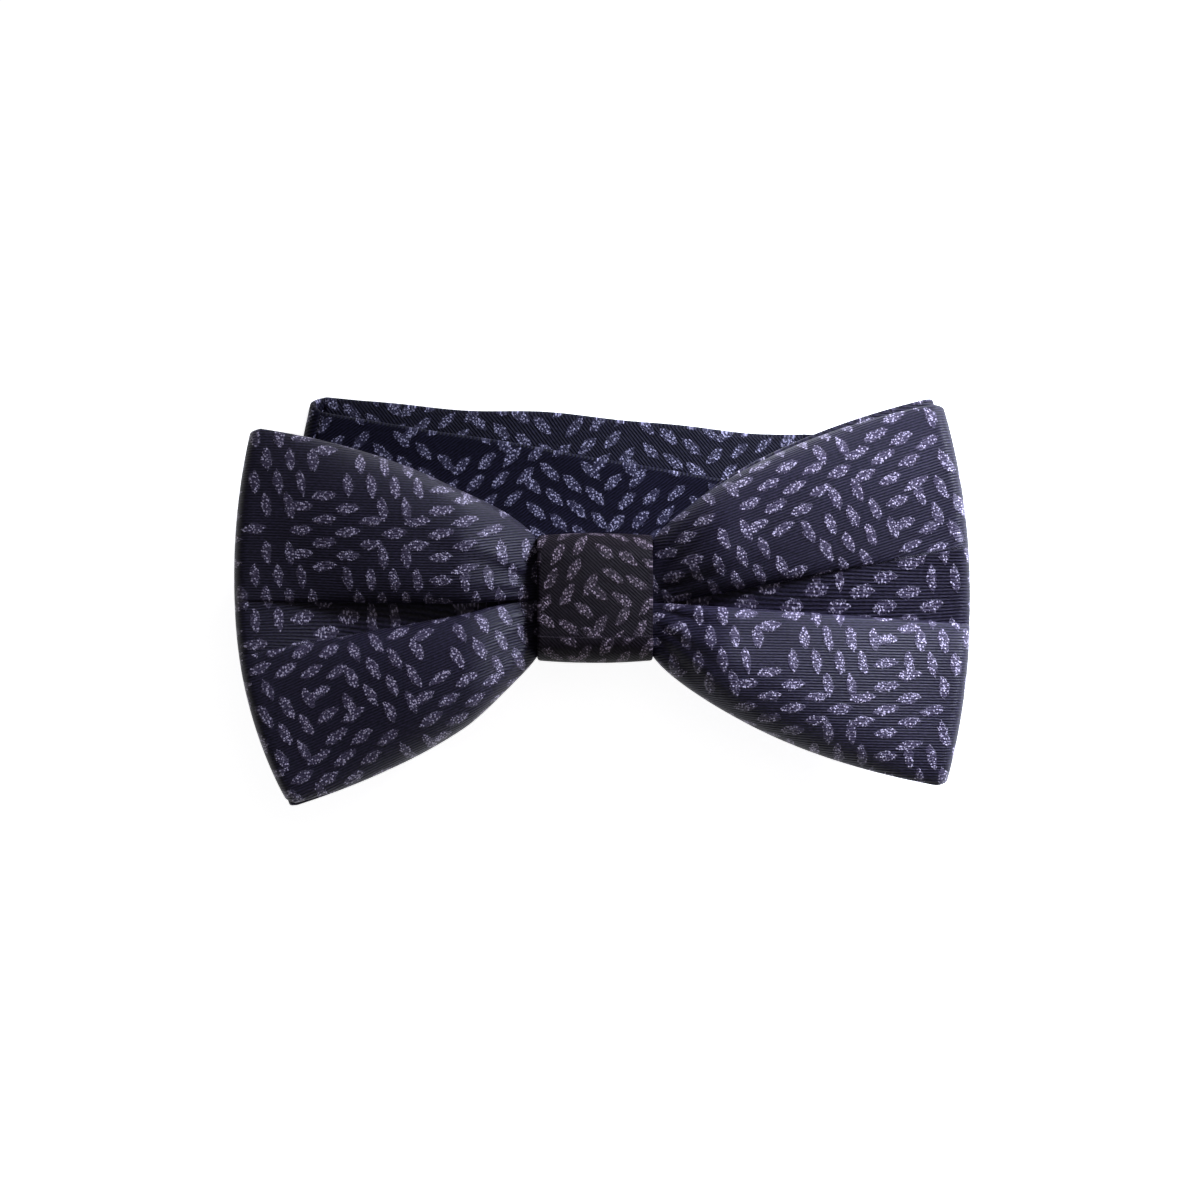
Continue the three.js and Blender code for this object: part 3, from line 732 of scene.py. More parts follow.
def gathers(x, share):
    """The small folds that fan out from the knot in both layers and the canvas between them."""
    held = smooth(x, KNOT_HALF, KNOT_HALF + 3) * np.exp(-np.maximum(x - KNOT_HALF - 3, 0) / 20)
    return GATHER * held * np.sin(math.pi * GATHERS * share)


def back_level(x):
    return BACK_LEVEL + BACK_LIFT * smooth(x, KNOT_HALF, KNOT_HALF + RISE)


def back_wing(side, reach, tilt):
    steps = np.linspace(0, 1, BACK_STEPS)
    share = np.linspace(-1, 1, BACK_ACROSS)
    end = reach - BACK_SPREAD / 2 - TIPS * share ** 2
    points, cloth = [], []

    def row(x, front):
        on = smooth(x, KNOT_HALF, KNOT_HALF + RISE)
        waist = WAIST_FRONT - WAIST_BACK
        z = back_level(x) + (lerp(waist, BACK_SPREAD, on) if front else 0) + gathers(x, share)
        y = share * half_height(x) * (1 + BACK_FULLER * on)
        points.append(np.stack([x, y, z], -1))
        cloth.append(np.stack([side * x + (0 if front else BACK_CLOTH), y], -1))

    for s in steps:
        row(lerp(KNOT_HALF, end, s), True)
    for k in range(1, 6):
        a = math.pi * k / 6
        x = end + BACK_SPREAD / 2 * math.sin(a)
        z = BACK_LEVEL + BACK_LIFT + BACK_SPREAD / 2 * (1 + math.cos(a))
        y = share * half_height(end) * (1 + BACK_FULLER)
        points.append(np.stack([x, y, np.full(BACK_ACROSS, z)], -1))
        cloth.append(cloth[-1] + np.array([side * 0.5, 0]))
    for s in steps[::-1]:
        row(lerp(KNOT_HALF, end, s), False)
    wing = {"side": side, "tilt": tilt}
    return in_row(np.array(points), wing), turned(np.array(cloth), -2.0, (side * 30.0, 9.0), STAR)


left_back, left_back_cloth = back_wing(-1, LEFT_WING["reach"] - 2.1, LEFT_WING["tilt"] + BACK_TURN)
right_back, right_back_cloth = back_wing(1, RIGHT_WING["reach"] - 0.8, RIGHT_WING["tilt"] + BACK_TURN)
grid, cloth = bow_loop(left_back, left_back_cloth, right_back, right_back_cloth,
                       BACK_LEVEL + WAIST_FRONT - WAIST_BACK, BACK_LEVEL)
back_bow = sheet_mesh("back_bow_cloth", grid, cloth, BOW_CLOTH, bow_jacquard)


# %% [markdown]
# ## The interlinings
# A strip of canvas inside each bow keeps it from collapsing. It is a little smaller than the bow and lies
# on its back layer, so it hardly shows, but it is there at the open edges.

# %% The interlinings
INTERLINING = 0.4
LINING_INSET = 2.5  # how far inside the bow's edges
LINING_SHORT = 1.5  # and inside its ends
LINING_STEPS = 61


def interlining(name, node, base):
    """A canvas strip through a bow, as long as its CAD node. base gives the height of its middle."""
    low, high = box(node)
    share = np.linspace(-1, 1, BACK_ACROSS)
    rows = []
    for t in np.linspace(-1, 1, LINING_STEPS):
        wing = LEFT_WING if t < 0 else RIGHT_WING
        reach = (KNOT[0] - low[0]) if t < 0 else (high[0] - KNOT[0])
        x = abs(t) * (reach - TIPS * share ** 2 - LINING_SHORT)
        on = smooth(x, KNOT_HALF, KNOT_HALF + RISE)
        y = share * (half_height(x) - LINING_INSET * on)
        rows.append(in_row(np.stack([x, y, base(x, share)], -1), wing))
    grid = np.array(rows)
    return sheet_mesh(name, grid, grid[..., :2].copy(), INTERLINING, interlining_canvas)


LINING_STEP = BOW_CLOTH / 2 + CLEARANCE + INTERLINING / 2
front_lining = interlining("front_interlining_canvas", "front_bow_interlining",
                           lambda x, share: level_back(x) + LINING_STEP)
back_lining = interlining("back_interlining_canvas", "back_bow_interlining",
                          lambda x, share: back_level(x) + gathers(x, share) + LINING_STEP)


# %% [markdown]
# ## The knot
# The knot is a short wrap of the same jacquard, cut on the slant, round the gathered waist and over a pad
# of felt. Its section is a rounded rectangle, a little fuller in the middle than at its two edges.

# %% The knot wrap
WRAP = 1.0
KNOT_ROUND = 3.6
KNOT_ACROSS = 61
KNOT_POINTS = 260  # round the knot
BARREL = 0.035  # how much narrower its two edges are, as a share
KNOT_FULL = 0.55  # how far its front stands out in the middle
KNOT_SUNK = 0.25  # and how far it is pressed in elsewhere
PUCKER = 0.13  # small folds where the front turns over
PUCKER_IN = 0.10


def rounded_rectangle(half_y, low, high, corner, count):
    """Points round a rounded rectangle in the YZ plane, going down over its front."""
    pieces = []
    centres = [(half_y - corner, high - corner, math.pi / 2, 0),
               (half_y - corner, low + corner, 0, -math.pi / 2),
               (-half_y + corner, low + corner, -math.pi / 2, -math.pi),
               (-half_y + corner, high - corner, math.pi, math.pi / 2)]
    for cy, cz, a, b in centres:
        angles = np.linspace(a, b, 14)
        pieces.append(np.stack([cy + corner * np.cos(angles), cz + corner * np.sin(angles)], -1))
    outline = np.concatenate(pieces)[::-1]
    closed = np.concatenate([outline, outline[:1]])
    run = np.concatenate([[0], np.cumsum(np.linalg.norm(np.diff(closed, axis=0), axis=1))])
    at = np.linspace(0, run[-1], count, endpoint=False)
    return np.stack([np.interp(at, run, closed[:, 0]), np.interp(at, run, closed[:, 1])], -1), at


def knot_wrap():
    """The wrap, with its cloth cut on the slant and its edges drawn in."""
    half_y = (knot_high[1] - knot_low[1]) / 2 - WRAP / 2
    low, high = knot_low[2] + WRAP / 2, knot_high[2] - WRAP / 2
    x = np.linspace(-1, 1, KNOT_ACROSS)
    outline, run = rounded_rectangle(half_y, low, high, KNOT_ROUND, KNOT_POINTS)
    rows, cloth = [], []
    middle_z = (low + high) / 2
    for (y, z), s in zip(outline, run):
        front = smooth(z, middle_z, high)
        full = 1 - x ** 2
        over = smooth(abs(y), half_y - 4.5, half_y)
        y_here = y * (1 - BARREL * (1 - full))
        z_here = z + front * (KNOT_FULL * full * (1 - (y / half_y) ** 2) - KNOT_SUNK)
        fold = np.sin(x * 2.6 + s * 1.9) * 0.5 + np.sin(s * 3.3 - x * 4.0) * 0.5
        z_here = z_here + PUCKER * front * over * fold
        y_here = y_here - np.sign(y) * PUCKER_IN * over * (fold + 1) * front
        rows.append(np.stack([x * (KNOT_HALF - WRAP / 2), y_here, z_here], -1))
        cloth.append(np.stack([x * KNOT_HALF, np.full(KNOT_ACROSS, -s)], -1))
    grid = np.array(rows) + np.array([KNOT[0], KNOT[1], 0])
    cloth = np.array(cloth)
    top = np.argmax((outline[:, 1] > high - 0.1) & (outline[:, 0] < 5.7))
    cloth = turned(cloth, -42.0, (-2.1, -run[top]), RING)
    # The wrap's darker colours are painted shade, not a different cloth.
    return sheet_mesh("knot_cloth", grid, cloth, WRAP, knot_jacquard, loop=True)


knot_cloth = knot_wrap()

# %% [markdown]
# ## The pad
# The pad is a small block of felt that gives the knot its square front. It is a box with many faces whose
# corners are rounded and whose middle is raised.


# %% The knot pad
PAD_CUTS = 15
PAD_ROUNDING = np.array([0.25, 0.25, 0.8])  # how round it is along each axis, from a box to a ball


def padded_block(name, low, high, material, crown):
    """A cushion-like block between two corners, in mm."""
    work = bmesh.new()
    bmesh.ops.create_cube(work, size=2.0)
    bmesh.ops.subdivide_edges(work, edges=work.edges, cuts=PAD_CUTS, use_grid_fill=True)
    middle, half = (low + high) / 2, (high - low) / 2
    for vertex in work.verts:
        p = np.array(vertex.co)
        q, r = p[[1, 2, 0]], p[[2, 0, 1]]
        round_off = 1 - 0.5 * (q ** 2 + r ** 2) + (q * r) ** 2 / 3
        p = lerp(p, p * np.sqrt(np.maximum(round_off, 0)), PAD_ROUNDING)
        p[2] *= 1 - crown + crown * (1 - p[0] ** 2) * (1 - p[1] ** 2)
        vertex.co = (middle + p * half) * MM
    mesh = bpy.data.meshes.new(name)
    work.to_mesh(mesh)
    work.free()
    mesh.polygons.foreach_set("use_smooth", [True] * len(mesh.polygons))
    mesh.materials.append(material)
    return placed(name, mesh)


knot_pad = padded_block("knot_felt", *box("knot_pad"), wadding_felt, 0.25)

# %% [markdown]
# ## The band
# The band is a flat tube of the same jacquard, cut on the slant so that its rib runs across it at half a
# right angle. It is a chain of straight runs joined by folds. The frame's flat runs give the corners, and
# a fold is the half circle of cloth between the ends of two runs, one above the other.


# %% Corners of the frame's flat runs
def mesh_points(node):
    points = np.empty(len(frame["nodes"][node].data.vertices) * 3)
    frame["nodes"][node].data.vertices.foreach_get("co", points)
    return points.reshape(-1, 3) / MM


def end_pairs(node):
    """The [lower, upper] corner pairs of a flat ribbon, from left to right, at its middle height."""
    points = mesh_points(node)
    flat = np.unique(points[:, :2].round(2), axis=0)
    flat = flat[np.argsort(flat[:, 0])]
    z = (points[:, 2].min() + points[:, 2].max()) / 2
    pairs = []
    for a, b in zip(flat[::2], flat[1::2]):
        pair = sorted([a, b], key=lambda p: p[1])
        pairs.append([np.append(p, z) for p in pair])
    return pairs


def fold_pairs(lower, upper, steps=12):
    """Pairs round the half circle from one pair to the pair above it."""
    centre = (lower[0] + lower[1] + upper[0] + upper[1]) / 4
    line = unit(np.append((upper[1] - upper[0])[:2], 0))
    out = np.array([line[1], -line[0], 0])
    sign = 1 if centre[0] > KNOT[0] else -1
    out = out * math.copysign(1, out[0]) * sign
    radius = (upper[0][2] - lower[0][2]) / 2
    made = []
    for k in range(steps + 1):
        a = math.pi * k / steps
        pair = []
        for low, high in zip(lower, upper):
            p = lerp(low, high, k / steps) + out * radius * math.sin(a)
            p[2] = lerp(low[2], high[2], (1 - math.cos(a)) / 2)
            pair.append(p)
        made.append(pair)
    return made


# %% A strap through pairs of edge points
BAND_ACROSS = 25
BAND_STEP = 0.8  # between rows along the band


def resampled(pairs):
    """Rows of edge pairs, closer together, with the distance run along the middle."""
    pairs = np.array(pairs)
    middle = pairs.mean(1)
    lengths = np.linalg.norm(np.diff(middle, axis=0), axis=1)
    rows, run = [pairs[0]], [0.0]
    for k, length in enumerate(lengths):
        count = max(1, int(math.ceil(length / BAND_STEP)))
        for c in range(1, count + 1):
            rows.append(lerp(pairs[k], pairs[k + 1], c / count))
            run.append(run[-1] + length / count)
    return np.array(rows), np.array(run)


def strap(name, pairs, start=0.0, wave=0.0, flip=False, slant=45.0):
    """A band of cloth through the pairs. start is where on the cloth it begins."""
    rows, run = resampled(pairs)
    t = np.linspace(0, 1, BAND_ACROSS)
    grid = lerp(rows[:, None, 0], rows[:, None, 1], t[None, :, None])
    width = np.linalg.norm(rows[:, 1] - rows[:, 0], axis=1)
    across = unit(rows[:, 1] - rows[:, 0])
    ends = np.minimum(1, np.minimum(run, run[-1] - run) / 6)
    uneven = np.sin(run / 8.3 + start) + 0.5 * np.sin(run / 3.9 + 2 + start)
    for j, s in enumerate((t - 0.5) * 2):
        grid[:, j] += across * (wave * uneven * ends * max(s, 0) ** 3)[:, None]
    places = np.broadcast_arrays((run + start)[:, None], (t[None, :] - 0.5) * width[:, None])
    cloth = np.stack(places, -1)
    if flip:
        grid, cloth = grid[:, ::-1], cloth[:, ::-1]
    # The band's darker colours are painted shade, not a different cloth.
    return sheet_mesh(name, grid, turned(cloth, slant, (0, 0), (3.0, 4.0)), BAND_CLOTH, shaded_band_jacquard)


# %% Turns of the band round a bar
TAIL = 14.0  # of the right end, folded back round the eye
HALF_BAND = 9.0
BAR_RADIUS = 1.1  # of the cloth's middle round the slide adjuster's bar


def beside_bar(bar, axis, level):
    """The pair of edge points under a bar."""
    middle = np.array([bar[0], bar[1], level])
    line = axis * math.copysign(HALF_BAND, axis[1])
    return [middle - line, middle + line]


def bar_turn(pair, way, radius, turn, steps=10):
    """Pairs round a bar: up and round it, or down if the radius is negative."""
    made = []
    for k in range(1, steps + 1):
        a = math.pi * turn * k / steps
        lift = np.array([0, 0, radius * (1 - math.cos(a))])
        made.append([p + way * abs(radius) * math.sin(a) + lift for p in pair])
    return made


# %% The right half of the band
centre_pairs = end_pairs("band_centre")
run_pairs = end_pairs("right_run")
eye_bar, eye_axis = joint("eye_swivel")
end_points = mesh_points("right_end")
end_level = end_points[:, 2].min() + BAND_CLOTH / 2
corners = np.unique(end_points[:, :2].round(2), axis=0)[:2]
turned_in = [np.append(c, end_level) for c in corners[np.argsort(corners[:, 1])]]
at_eye = beside_bar(eye_bar, eye_axis, end_level)
eye_way = unit(np.mean(at_eye, 0) - np.mean(turned_in, 0))
round_eye = bar_turn(at_eye, eye_way, eye_bar[2] - end_level, 1.0)
tail_end = [p - eye_way * TAIL for p in round_eye[-1]]

right_fold = strap("right_fold_cloth", fold_pairs(run_pairs[-1], centre_pairs[-1]), 55.0)
right_run = strap("right_run_cloth", run_pairs, 4.0, 0.12)
right_turn = strap("right_turn_cloth", fold_pairs(turned_in, run_pairs[0]), 1.0)
right_end = strap("right_end_cloth", [turned_in, at_eye, *round_eye, tail_end], 9.0, 0.35, slant=-45.0)

# %% The middle and the left half of the band
left_pairs = end_pairs("left_run")
loop_level = left_pairs[0][0][2]
hook_bar, hook_axis = joint("hook_swivel")
lap_top = box("loop_lap")[1][2]
lap_lift = np.array([0, 0, lap_top - BAND_CLOTH / 2 - loop_level])
at_hook = beside_bar(hook_bar, hook_axis, loop_level)
hook_way = unit(np.mean(at_hook, 0) - np.mean(left_pairs[0], 0))
before_hook = [p - hook_way * CLEARANCE for p in at_hook]
LAP_LENGTH = 9.0  # from the hook's bar to the slide adjuster's
lap_start = [p + lap_lift for p in before_hook]
lap_bar = [p + lap_lift - hook_way * LAP_LENGTH for p in at_hook]
over_bar = bar_turn(lap_bar, -hook_way, -BAR_RADIUS, 0.5, 6)

band_centre = strap("band_centre_cloth", centre_pairs, 2.0)
left_fold = strap("left_fold_cloth", fold_pairs(left_pairs[0], centre_pairs[0]), 7.0)
left_strap = strap("left_run_cloth", [left_pairs[0], before_hook], 3.0)
round_hook = bar_turn(at_hook, hook_way, hook_bar[2] - loop_level, 1.0)
loop_end = strap("loop_end_cloth", [at_hook, *round_hook], 30.0)
loop_lap = strap("loop_lap_cloth", [lap_start, lap_bar, *over_bar], 40.0, flip=True)

# %% [markdown]
# ## The metal
# The hook, the eye and the slide adjuster are pressed from nickel-plated wire and sheet. The frame's own
# shapes are right, so each gets only what a press and a plating bath give it: softly rounded edges.


# %% Rounded metal
PRESSED_EDGE = 0.12


def pressed(name, node):
    """A copy of a CAD node with its corners merged and its edges rounded."""
    work = bmesh.new()
    work.from_mesh(frame["nodes"][node].data)
    bmesh.ops.remove_doubles(work, verts=work.verts, dist=0.00001)
    bmesh.ops.dissolve_limit(work, angle_limit=0.02, verts=work.verts, edges=work.edges)
    sharp = [e for e in work.edges if e.is_manifold and e.calc_face_angle(0) > 0.5]
    bmesh.ops.bevel(work, geom=sharp, offset=PRESSED_EDGE * MM, segments=2, profile=0.6,
                    affect="EDGES", clamp_overlap=True)
    bmesh.ops.triangulate(work, faces=[f for f in work.faces if len(f.verts) > 4])
    mesh = bpy.data.meshes.new(name)
    work.to_mesh(mesh)
    work.free()
    mesh.materials.clear()
    mesh.materials.append(bright_nickel)
    mesh.polygons.foreach_set("use_smooth", [True] * len(mesh.polygons))
    mesh.set_sharp_from_angle(angle=0.9)
    return placed(name, mesh)


metal = {node: pressed(node + "_nickel", node) for node in ("hook", "eye", "slide_adjuster")}

# %% [markdown]
# ## Stitches and wound thread
# A row of stitches is one small stitch set again and again along a line, and the gathering thread is one
# long thread wound round the waist of both bows. Both are made by a Geometry Nodes tree: it takes a line,
# and either sets a stitch at even steps along it, or lays a round thread on it.


# %% A node tree for lines of thread
def thread_tree(name, stitched):
    """A tree that dresses a line with stitches, or with one thread."""
    tree = bpy.data.node_groups.new(name, "GeometryNodeTree")
    face = tree.interface
    face.new_socket("Geometry", in_out="INPUT", socket_type="NodeSocketGeometry")
    sockets = {}
    for label, value in (("Radius", 0.0002), ("Length", 0.0012), ("Step", 0.0016), ("Slant", 0.4)):
        made = face.new_socket(label, in_out="INPUT", socket_type="NodeSocketFloat")
        made.default_value = value
        sockets[label] = made.identifier
    face.new_socket("Geometry", in_out="OUTPUT", socket_type="NodeSocketGeometry")
    nodes, link = tree.nodes, tree.links.new

    def add(kind, **settings):
        made = nodes.new(kind)
        for key, value in settings.items():
            setattr(made, key, value)
        return made

    start, end = add("NodeGroupInput"), add("NodeGroupOutput")
    curve = add("GeometryNodeMeshToCurve")
    link(start.outputs["Geometry"], curve.inputs["Mesh"])
    if stitched:
        points = add("GeometryNodeCurveToPoints", mode="LENGTH")
        link(curve.outputs["Curve"], points.inputs["Curve"])
        link(start.outputs["Step"], points.inputs["Length"])
        ball = add("GeometryNodeMeshUVSphere")
        ball.inputs["Segments"].default_value = 8
        ball.inputs["Rings"].default_value = 6
        ball.inputs["Radius"].default_value = 0.5
        size = add("ShaderNodeCombineXYZ")
        link(start.outputs["Radius"], size.inputs["X"])
        link(start.outputs["Radius"], size.inputs["Y"])
        link(start.outputs["Length"], size.inputs["Z"])
        doubled = add("ShaderNodeVectorMath", operation="MULTIPLY")
        doubled.inputs[1].default_value = (2, 2, 1)
        link(size.outputs["Vector"], doubled.inputs[0])
        turn = add("ShaderNodeCombineXYZ")
        link(start.outputs["Slant"], turn.inputs["X"])
        lean = add("FunctionNodeRotateRotation", rotation_space="LOCAL")
        link(points.outputs["Rotation"], lean.inputs["Rotation"])
        link(turn.outputs["Vector"], lean.inputs["Rotate By"])
        place = add("GeometryNodeInstanceOnPoints")
        link(points.outputs["Points"], place.inputs["Points"])
        link(ball.outputs["Mesh"], place.inputs["Instance"])
        link(lean.outputs["Rotation"], place.inputs["Rotation"])
        link(doubled.outputs["Vector"], place.inputs["Scale"])
        last = place.outputs["Instances"]
    else:
        ring = add("GeometryNodeCurvePrimitiveCircle")
        ring.inputs["Resolution"].default_value = 8
        link(start.outputs["Radius"], ring.inputs["Radius"])
        sweep = add("GeometryNodeCurveToMesh")
        sweep.inputs["Fill Caps"].default_value = True
        link(ring.outputs["Curve"], sweep.inputs["Profile Curve"])
        link(curve.outputs["Curve"], sweep.inputs["Curve"])
        last = sweep.outputs["Mesh"]
    real = add("GeometryNodeRealizeInstances")
    link(last, real.inputs["Geometry"])
    shade = add("GeometryNodeSetMaterial")
    shade.inputs["Material"].default_value = sewing_thread
    link(real.outputs["Geometry"], shade.inputs["Geometry"])
    link(shade.outputs["Geometry"], end.inputs["Geometry"])
    return tree, sockets


def along_line(name, points, tree_and_sockets, **values):
    """A plain mesh made by a thread tree along a line of points in mm."""
    tree, sockets = tree_and_sockets
    mesh = bpy.data.meshes.new(name + "_line")
    mesh.from_pydata((np.array(points) * MM).tolist(), [(i, i + 1) for i in range(len(points) - 1)], [])
    line = placed(name, mesh)
    modifier = line.modifiers.new("thread", "NODES")
    modifier.node_group = tree
    for label, value in values.items():
        modifier[sockets[label]] = value * (1 if label == "Slant" else MM)
    bpy.context.view_layer.update()
    graph = bpy.context.evaluated_depsgraph_get()
    made = bpy.data.meshes.new_from_object(line.evaluated_get(graph))
    line.modifiers.clear()
    line.data = made
    made.name = name
    made.polygons.foreach_set("use_smooth", [True] * len(made.polygons))
    return line


stitches = thread_tree("a row of stitches", True)
one_thread = thread_tree("one thread", False)

# %% The gathering thread
WOUND = 0.19  # half the thread's thickness
TURNS = 9


def wound_line():
    """A thread wound round the gathered waist, from one side of it to the other."""
    half_y = (thread_high[1] - thread_low[1]) / 2 - WOUND
    low, high = thread_low[2] + WOUND, thread_high[2] - WOUND
    outline, _ = rounded_rectangle(half_y, low, high, 1.6, 60)
    points = []
    count = TURNS * len(outline)
    for k in range(count):
        y, z = outline[k % len(outline)]
        t = k / (count - 1)
        x = lerp(thread_low[0] + WOUND, thread_high[0] - WOUND, t)
        points.append((x, y + KNOT[1], z))
    return points


gathering = along_line("gathering_thread_wound", wound_line(), one_thread, Radius=WOUND)

# %% The seam and the tackings
STITCH = {"Radius": 0.16, "Length": 1.3, "Step": 1.05, "Slant": 0.5}
SEAM_SHARE = 0.92  # how much of a node's length is stitched
ROWS_SHARE = 0.6  # and how much of its width


def seam_line(node):
    """A stitched node's middle, and half its length and half its width as vectors."""
    points = mesh_points(node)
    middle = points.mean(0)
    flat = points[:, :2] - middle[:2]
    _, _, ways = np.linalg.svd(flat, full_matrices=False)
    reach = (flat @ ways[0]).max()
    way = np.append(ways[0], 0)
    across = np.append(ways[1], 0) * (flat @ ways[1]).max()
    return middle, way * reach, across


def tacked(name, node, rows):
    """A tacking: rows of close slanting stitches, joined into one piece."""
    middle, reach, across = seam_line(node)
    made = []
    for r in range(rows):
        shift = across * (ROWS_SHARE * (2 * (r + 0.5) / rows - 1))
        line = [middle - reach * SEAM_SHARE + shift, middle + reach * SEAM_SHARE + shift]
        made.append(along_line(f"{name}_{r}", line, stitches, **STITCH))
    whole = made[0]
    bpy.ops.object.select_all(action="DESELECT")
    for piece in made:
        piece.select_set(True)
    bpy.context.view_layer.objects.active = whole
    bpy.ops.object.join()
    whole.name = name
    return whole


knot_seam = tacked("knot_seam_stitches", "knot_seam", 1)
eye_tack = tacked("eye_tacking_stitches", "eye_tacking", 2)
adjuster_tack = tacked("adjuster_tacking_stitches", "adjuster_tacking", 2)
print("stitches:", [len(o.data.polygons) for o in (knot_seam, eye_tack, adjuster_tack)])

# %% [markdown]
# ## What rides on what
# Each piece rides on the body that its CAD node belongs to. Cloth that crosses a fold rides on no body:
# it stays where it lies, and the CAD nodes that it stands for are hidden.

# %% Pieces that ride on one body
RIDES = {
    "bow": [(front_bow, "front_bow", "jacquard"), (back_bow, "back_bow", "jacquard"),
            (front_lining, "front_bow_interlining", "canvas"),
            (back_lining, "back_bow_interlining", "canvas"),
            (knot_cloth, "knot_wrap", "knot_jacquard"), (knot_pad, "knot_pad", "wadding"),
            (gathering, "gathering_thread", "thread"), (knot_seam, "knot_seam", "thread"),
            (band_centre, "band_centre", "jacquard")],
    "right_half": [(right_run, "right_run", "jacquard")],
    "right_end": [(right_end, "right_end", "jacquard"), (eye_tack, "eye_tacking", "thread")],
    "eye": [(metal["eye"], "eye", "nickel")],
    "adjuster": [(metal["slide_adjuster"], "slide_adjuster", "nickel"),
                 (adjuster_tack, "adjuster_tacking", "thread")],
    "loop": [(loop_end, "loop_end", "jacquard")],
    "hook": [(metal["hook"], "hook", "nickel")],
}
for body, riders in RIDES.items():
    for piece, node, slot in riders:
        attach(piece, body)
        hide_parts(node)

# %% Pieces across folds, which ride on no body
def bends(piece, nodes, start, end):
    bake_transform(piece)
    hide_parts(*nodes)


def across_fold(piece, node, upper, lower):
    """A fold, kept where it lies, with its CAD node hidden."""
    middle = (upper[0] + upper[1] + lower[0] + lower[1]) / 4
    half = np.array([0, 0, (upper[0][2] - lower[0][2]) / 2])
    bends(piece, [node], middle + half, middle - half)


across_fold(right_fold, "right_fold", centre_pairs[-1], run_pairs[-1])
across_fold(right_turn, "right_turn", run_pairs[0], turned_in)
across_fold(left_fold, "left_fold", centre_pairs[0], left_pairs[0])
left_start, left_end = np.mean(left_pairs[0], 0), np.mean(before_hook, 0)
bends(left_strap, ["left_run", "loop_run"], left_start, left_end)
lap_hook, lap_adjuster = np.mean(lap_start, 0), np.mean(lap_bar, 0)
bends(loop_lap, ["loop_lap"], 2 * lap_hook - lap_adjuster, lap_adjuster)

# %% [markdown]
# ## The cut of each piece
# A sheet of cloth was cut flat before it was folded or gathered. The cuts are worked out from the finished
# sizes, as a maker would: a bow's loop is twice as long as the bow, the knot's wrap goes once round the
# knot, and a stretch of band is as long as the way between its folds. The gathered bows have less surface
# than their cuts, because the deepest folds are inside the knot.


# %% The finished sizes
def apart(a, b):
    """The distance between two joints or bars, seen from above."""
    return float(np.linalg.norm((a - b)[:2]))


FOLD_GAP = 2.6  # between the layers at a fold
knot_round = 2 * (knot_high - knot_low)[1:].sum() - (8 - 2 * math.pi) * KNOT_ROUND
right_fold_at, turn_at, left_fold_at = (joint(n)[0] for n in ("right_unfold", "turn_unfold", "left_unfold"))
CUTS = {
    front_bow: (BOW_HEIGHT, 2 * (front_high - front_low)[0], "gathered", back_bow, []),
    back_bow: (BOW_HEIGHT, 2 * (back_high - back_low)[0], "gathered", right_run, []),
    knot_cloth: (2 * KNOT_HALF, knot_round, "folded", knot_pad, [knot_seam]),
    band_centre: (2 * HALF_BAND, apart(left_fold_at, right_fold_at), "folded", knot_cloth,
                  [left_fold, right_fold]),
    right_run: (2 * HALF_BAND, apart(right_fold_at, turn_at), "folded", right_end, []),
    right_end: (2 * HALF_BAND, apart(turn_at, eye_bar) + TAIL + FOLD_GAP, "folded", "table",
                [right_turn, eye_tack]),
    left_strap: (2 * HALF_BAND, apart(left_fold_at, hook_bar), "folded", "table", []),
    loop_lap: (2 * HALF_BAND, LAP_LENGTH + BAR_RADIUS * math.pi / 2, "folded", metal["slide_adjuster"],
               [loop_end, adjuster_tack]),
}


# %% The cuts' sizes and the interlinings' areas
def waisted_area(node):
    """The area of an interlining, which is cut with a waist: the outline that the bow's height gives."""
    low, high = box(node)
    x = np.linspace(low[0], high[0], 400) - KNOT[0]
    on = smooth(np.abs(x), KNOT_HALF, KNOT_HALF + RISE)
    return float(np.sum(2 * (half_height(x) - LINING_INSET * on)) * (x[1] - x[0])) * MM * MM


for piece, (width, length, held, under, others) in CUTS.items():
    print(piece.name, "is cut", round(width, 1), "by", round(length, 1), "mm")
    width * MM
    length * MM
for piece, node, under in ((front_lining, "front_bow_interlining", front_bow),
                           (back_lining, "back_bow_interlining", back_bow)):
    waisted_area(node)

# %% [markdown]
# ## The table, the light and the camera
# The tie is looked at from straight above on a pale table. One large soft light stands beyond the upper
# edge and to the right, as a window would, and a weak one fills the other side.

# %% Table
TABLE = -0.0001  # just under the cloth
TABLE_HALF = 3.0


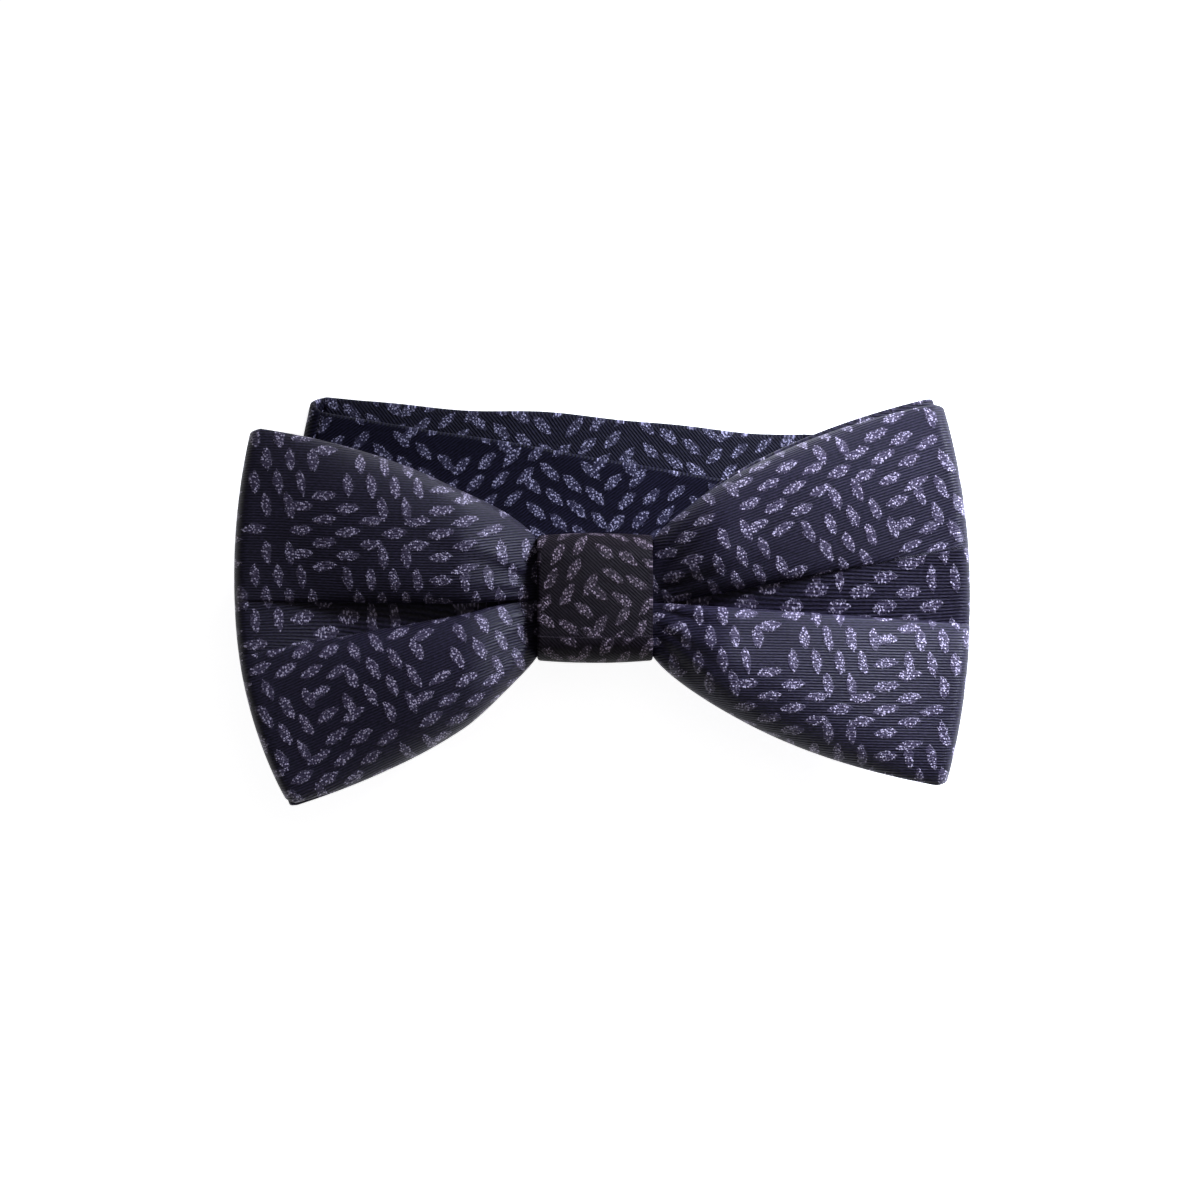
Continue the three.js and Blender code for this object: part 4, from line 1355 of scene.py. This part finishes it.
def pale_table():
    mesh = bpy.data.meshes.new("table")
    corners = [(x * TABLE_HALF, y * TABLE_HALF, TABLE) for x, y in ((-1, -1), (1, -1), (1, 1), (-1, 1))]
    mesh.from_pydata(corners, [], [(0, 1, 2, 3)])
    paint = Paint("pale table")
    paint.set(Base_Color=(0.93, 0.93, 0.93, 1), Roughness=0.95, Specular_IOR_Level=0.0)
    paint.set(Emission_Color=(1, 1, 1, 1), Emission_Strength=0.9)
    mesh.materials.append(paint.material)
    placed("table", mesh)


pale_table()


# %% Lights
ROOM = 0.10  # how bright the room is all round


def soft_light(name, place, aim, size, power, colour, spread):
    """A square soft light at a place, turned to its aim. spread is in degrees."""
    light = bpy.data.lights.new(name, "AREA")
    light.size = size
    light.energy = power
    light.color = colour
    light.spread = math.radians(spread)
    made = placed(name, light)
    made.location = place
    made.rotation_euler = (Vector(aim) - Vector(place)).to_track_quat("-Z", "Y").to_euler()


soft_light("window", (0.25, 0.25, 0.17), (0.12, 0.01, 0.0), 0.16, 0.84, (0.80, 0.87, 1.0), 52)
soft_light("fill", (0.2, 0.3, 0.7), (0, 0, 0), 0.6, 0.45, (1.0, 0.96, 0.95), 180)
world = bpy.data.worlds.new("room")
bpy.context.scene.world = world
world.use_nodes = True
background = world.node_tree.nodes["Background"]
background.inputs["Color"].default_value = (1.0, 1.0, 1.0, 1.0)
background.inputs["Strength"].default_value = ROOM
bpy.context.scene.view_settings.view_transform = "Standard"

# %% Camera
VIEW_HEIGHT = 0.7
FRAME_WIDTH = 0.1975  # what the picture shows at the level of the wings
WING_LEVEL = 0.013
OFF_KNOT = (0.00082, -0.00033)  # where it stands, from the knot's middle
lens = bpy.data.cameras.new("camera")
lens.sensor_width = 36.0
lens.lens = lens.sensor_width * (VIEW_HEIGHT - WING_LEVEL) / FRAME_WIDTH
lens.dof.use_dof = False
camera = placed("camera", lens)
camera.location = (KNOT[0] * MM + OFF_KNOT[0], KNOT[1] * MM + OFF_KNOT[1], VIEW_HEIGHT)
bpy.context.scene.camera = camera
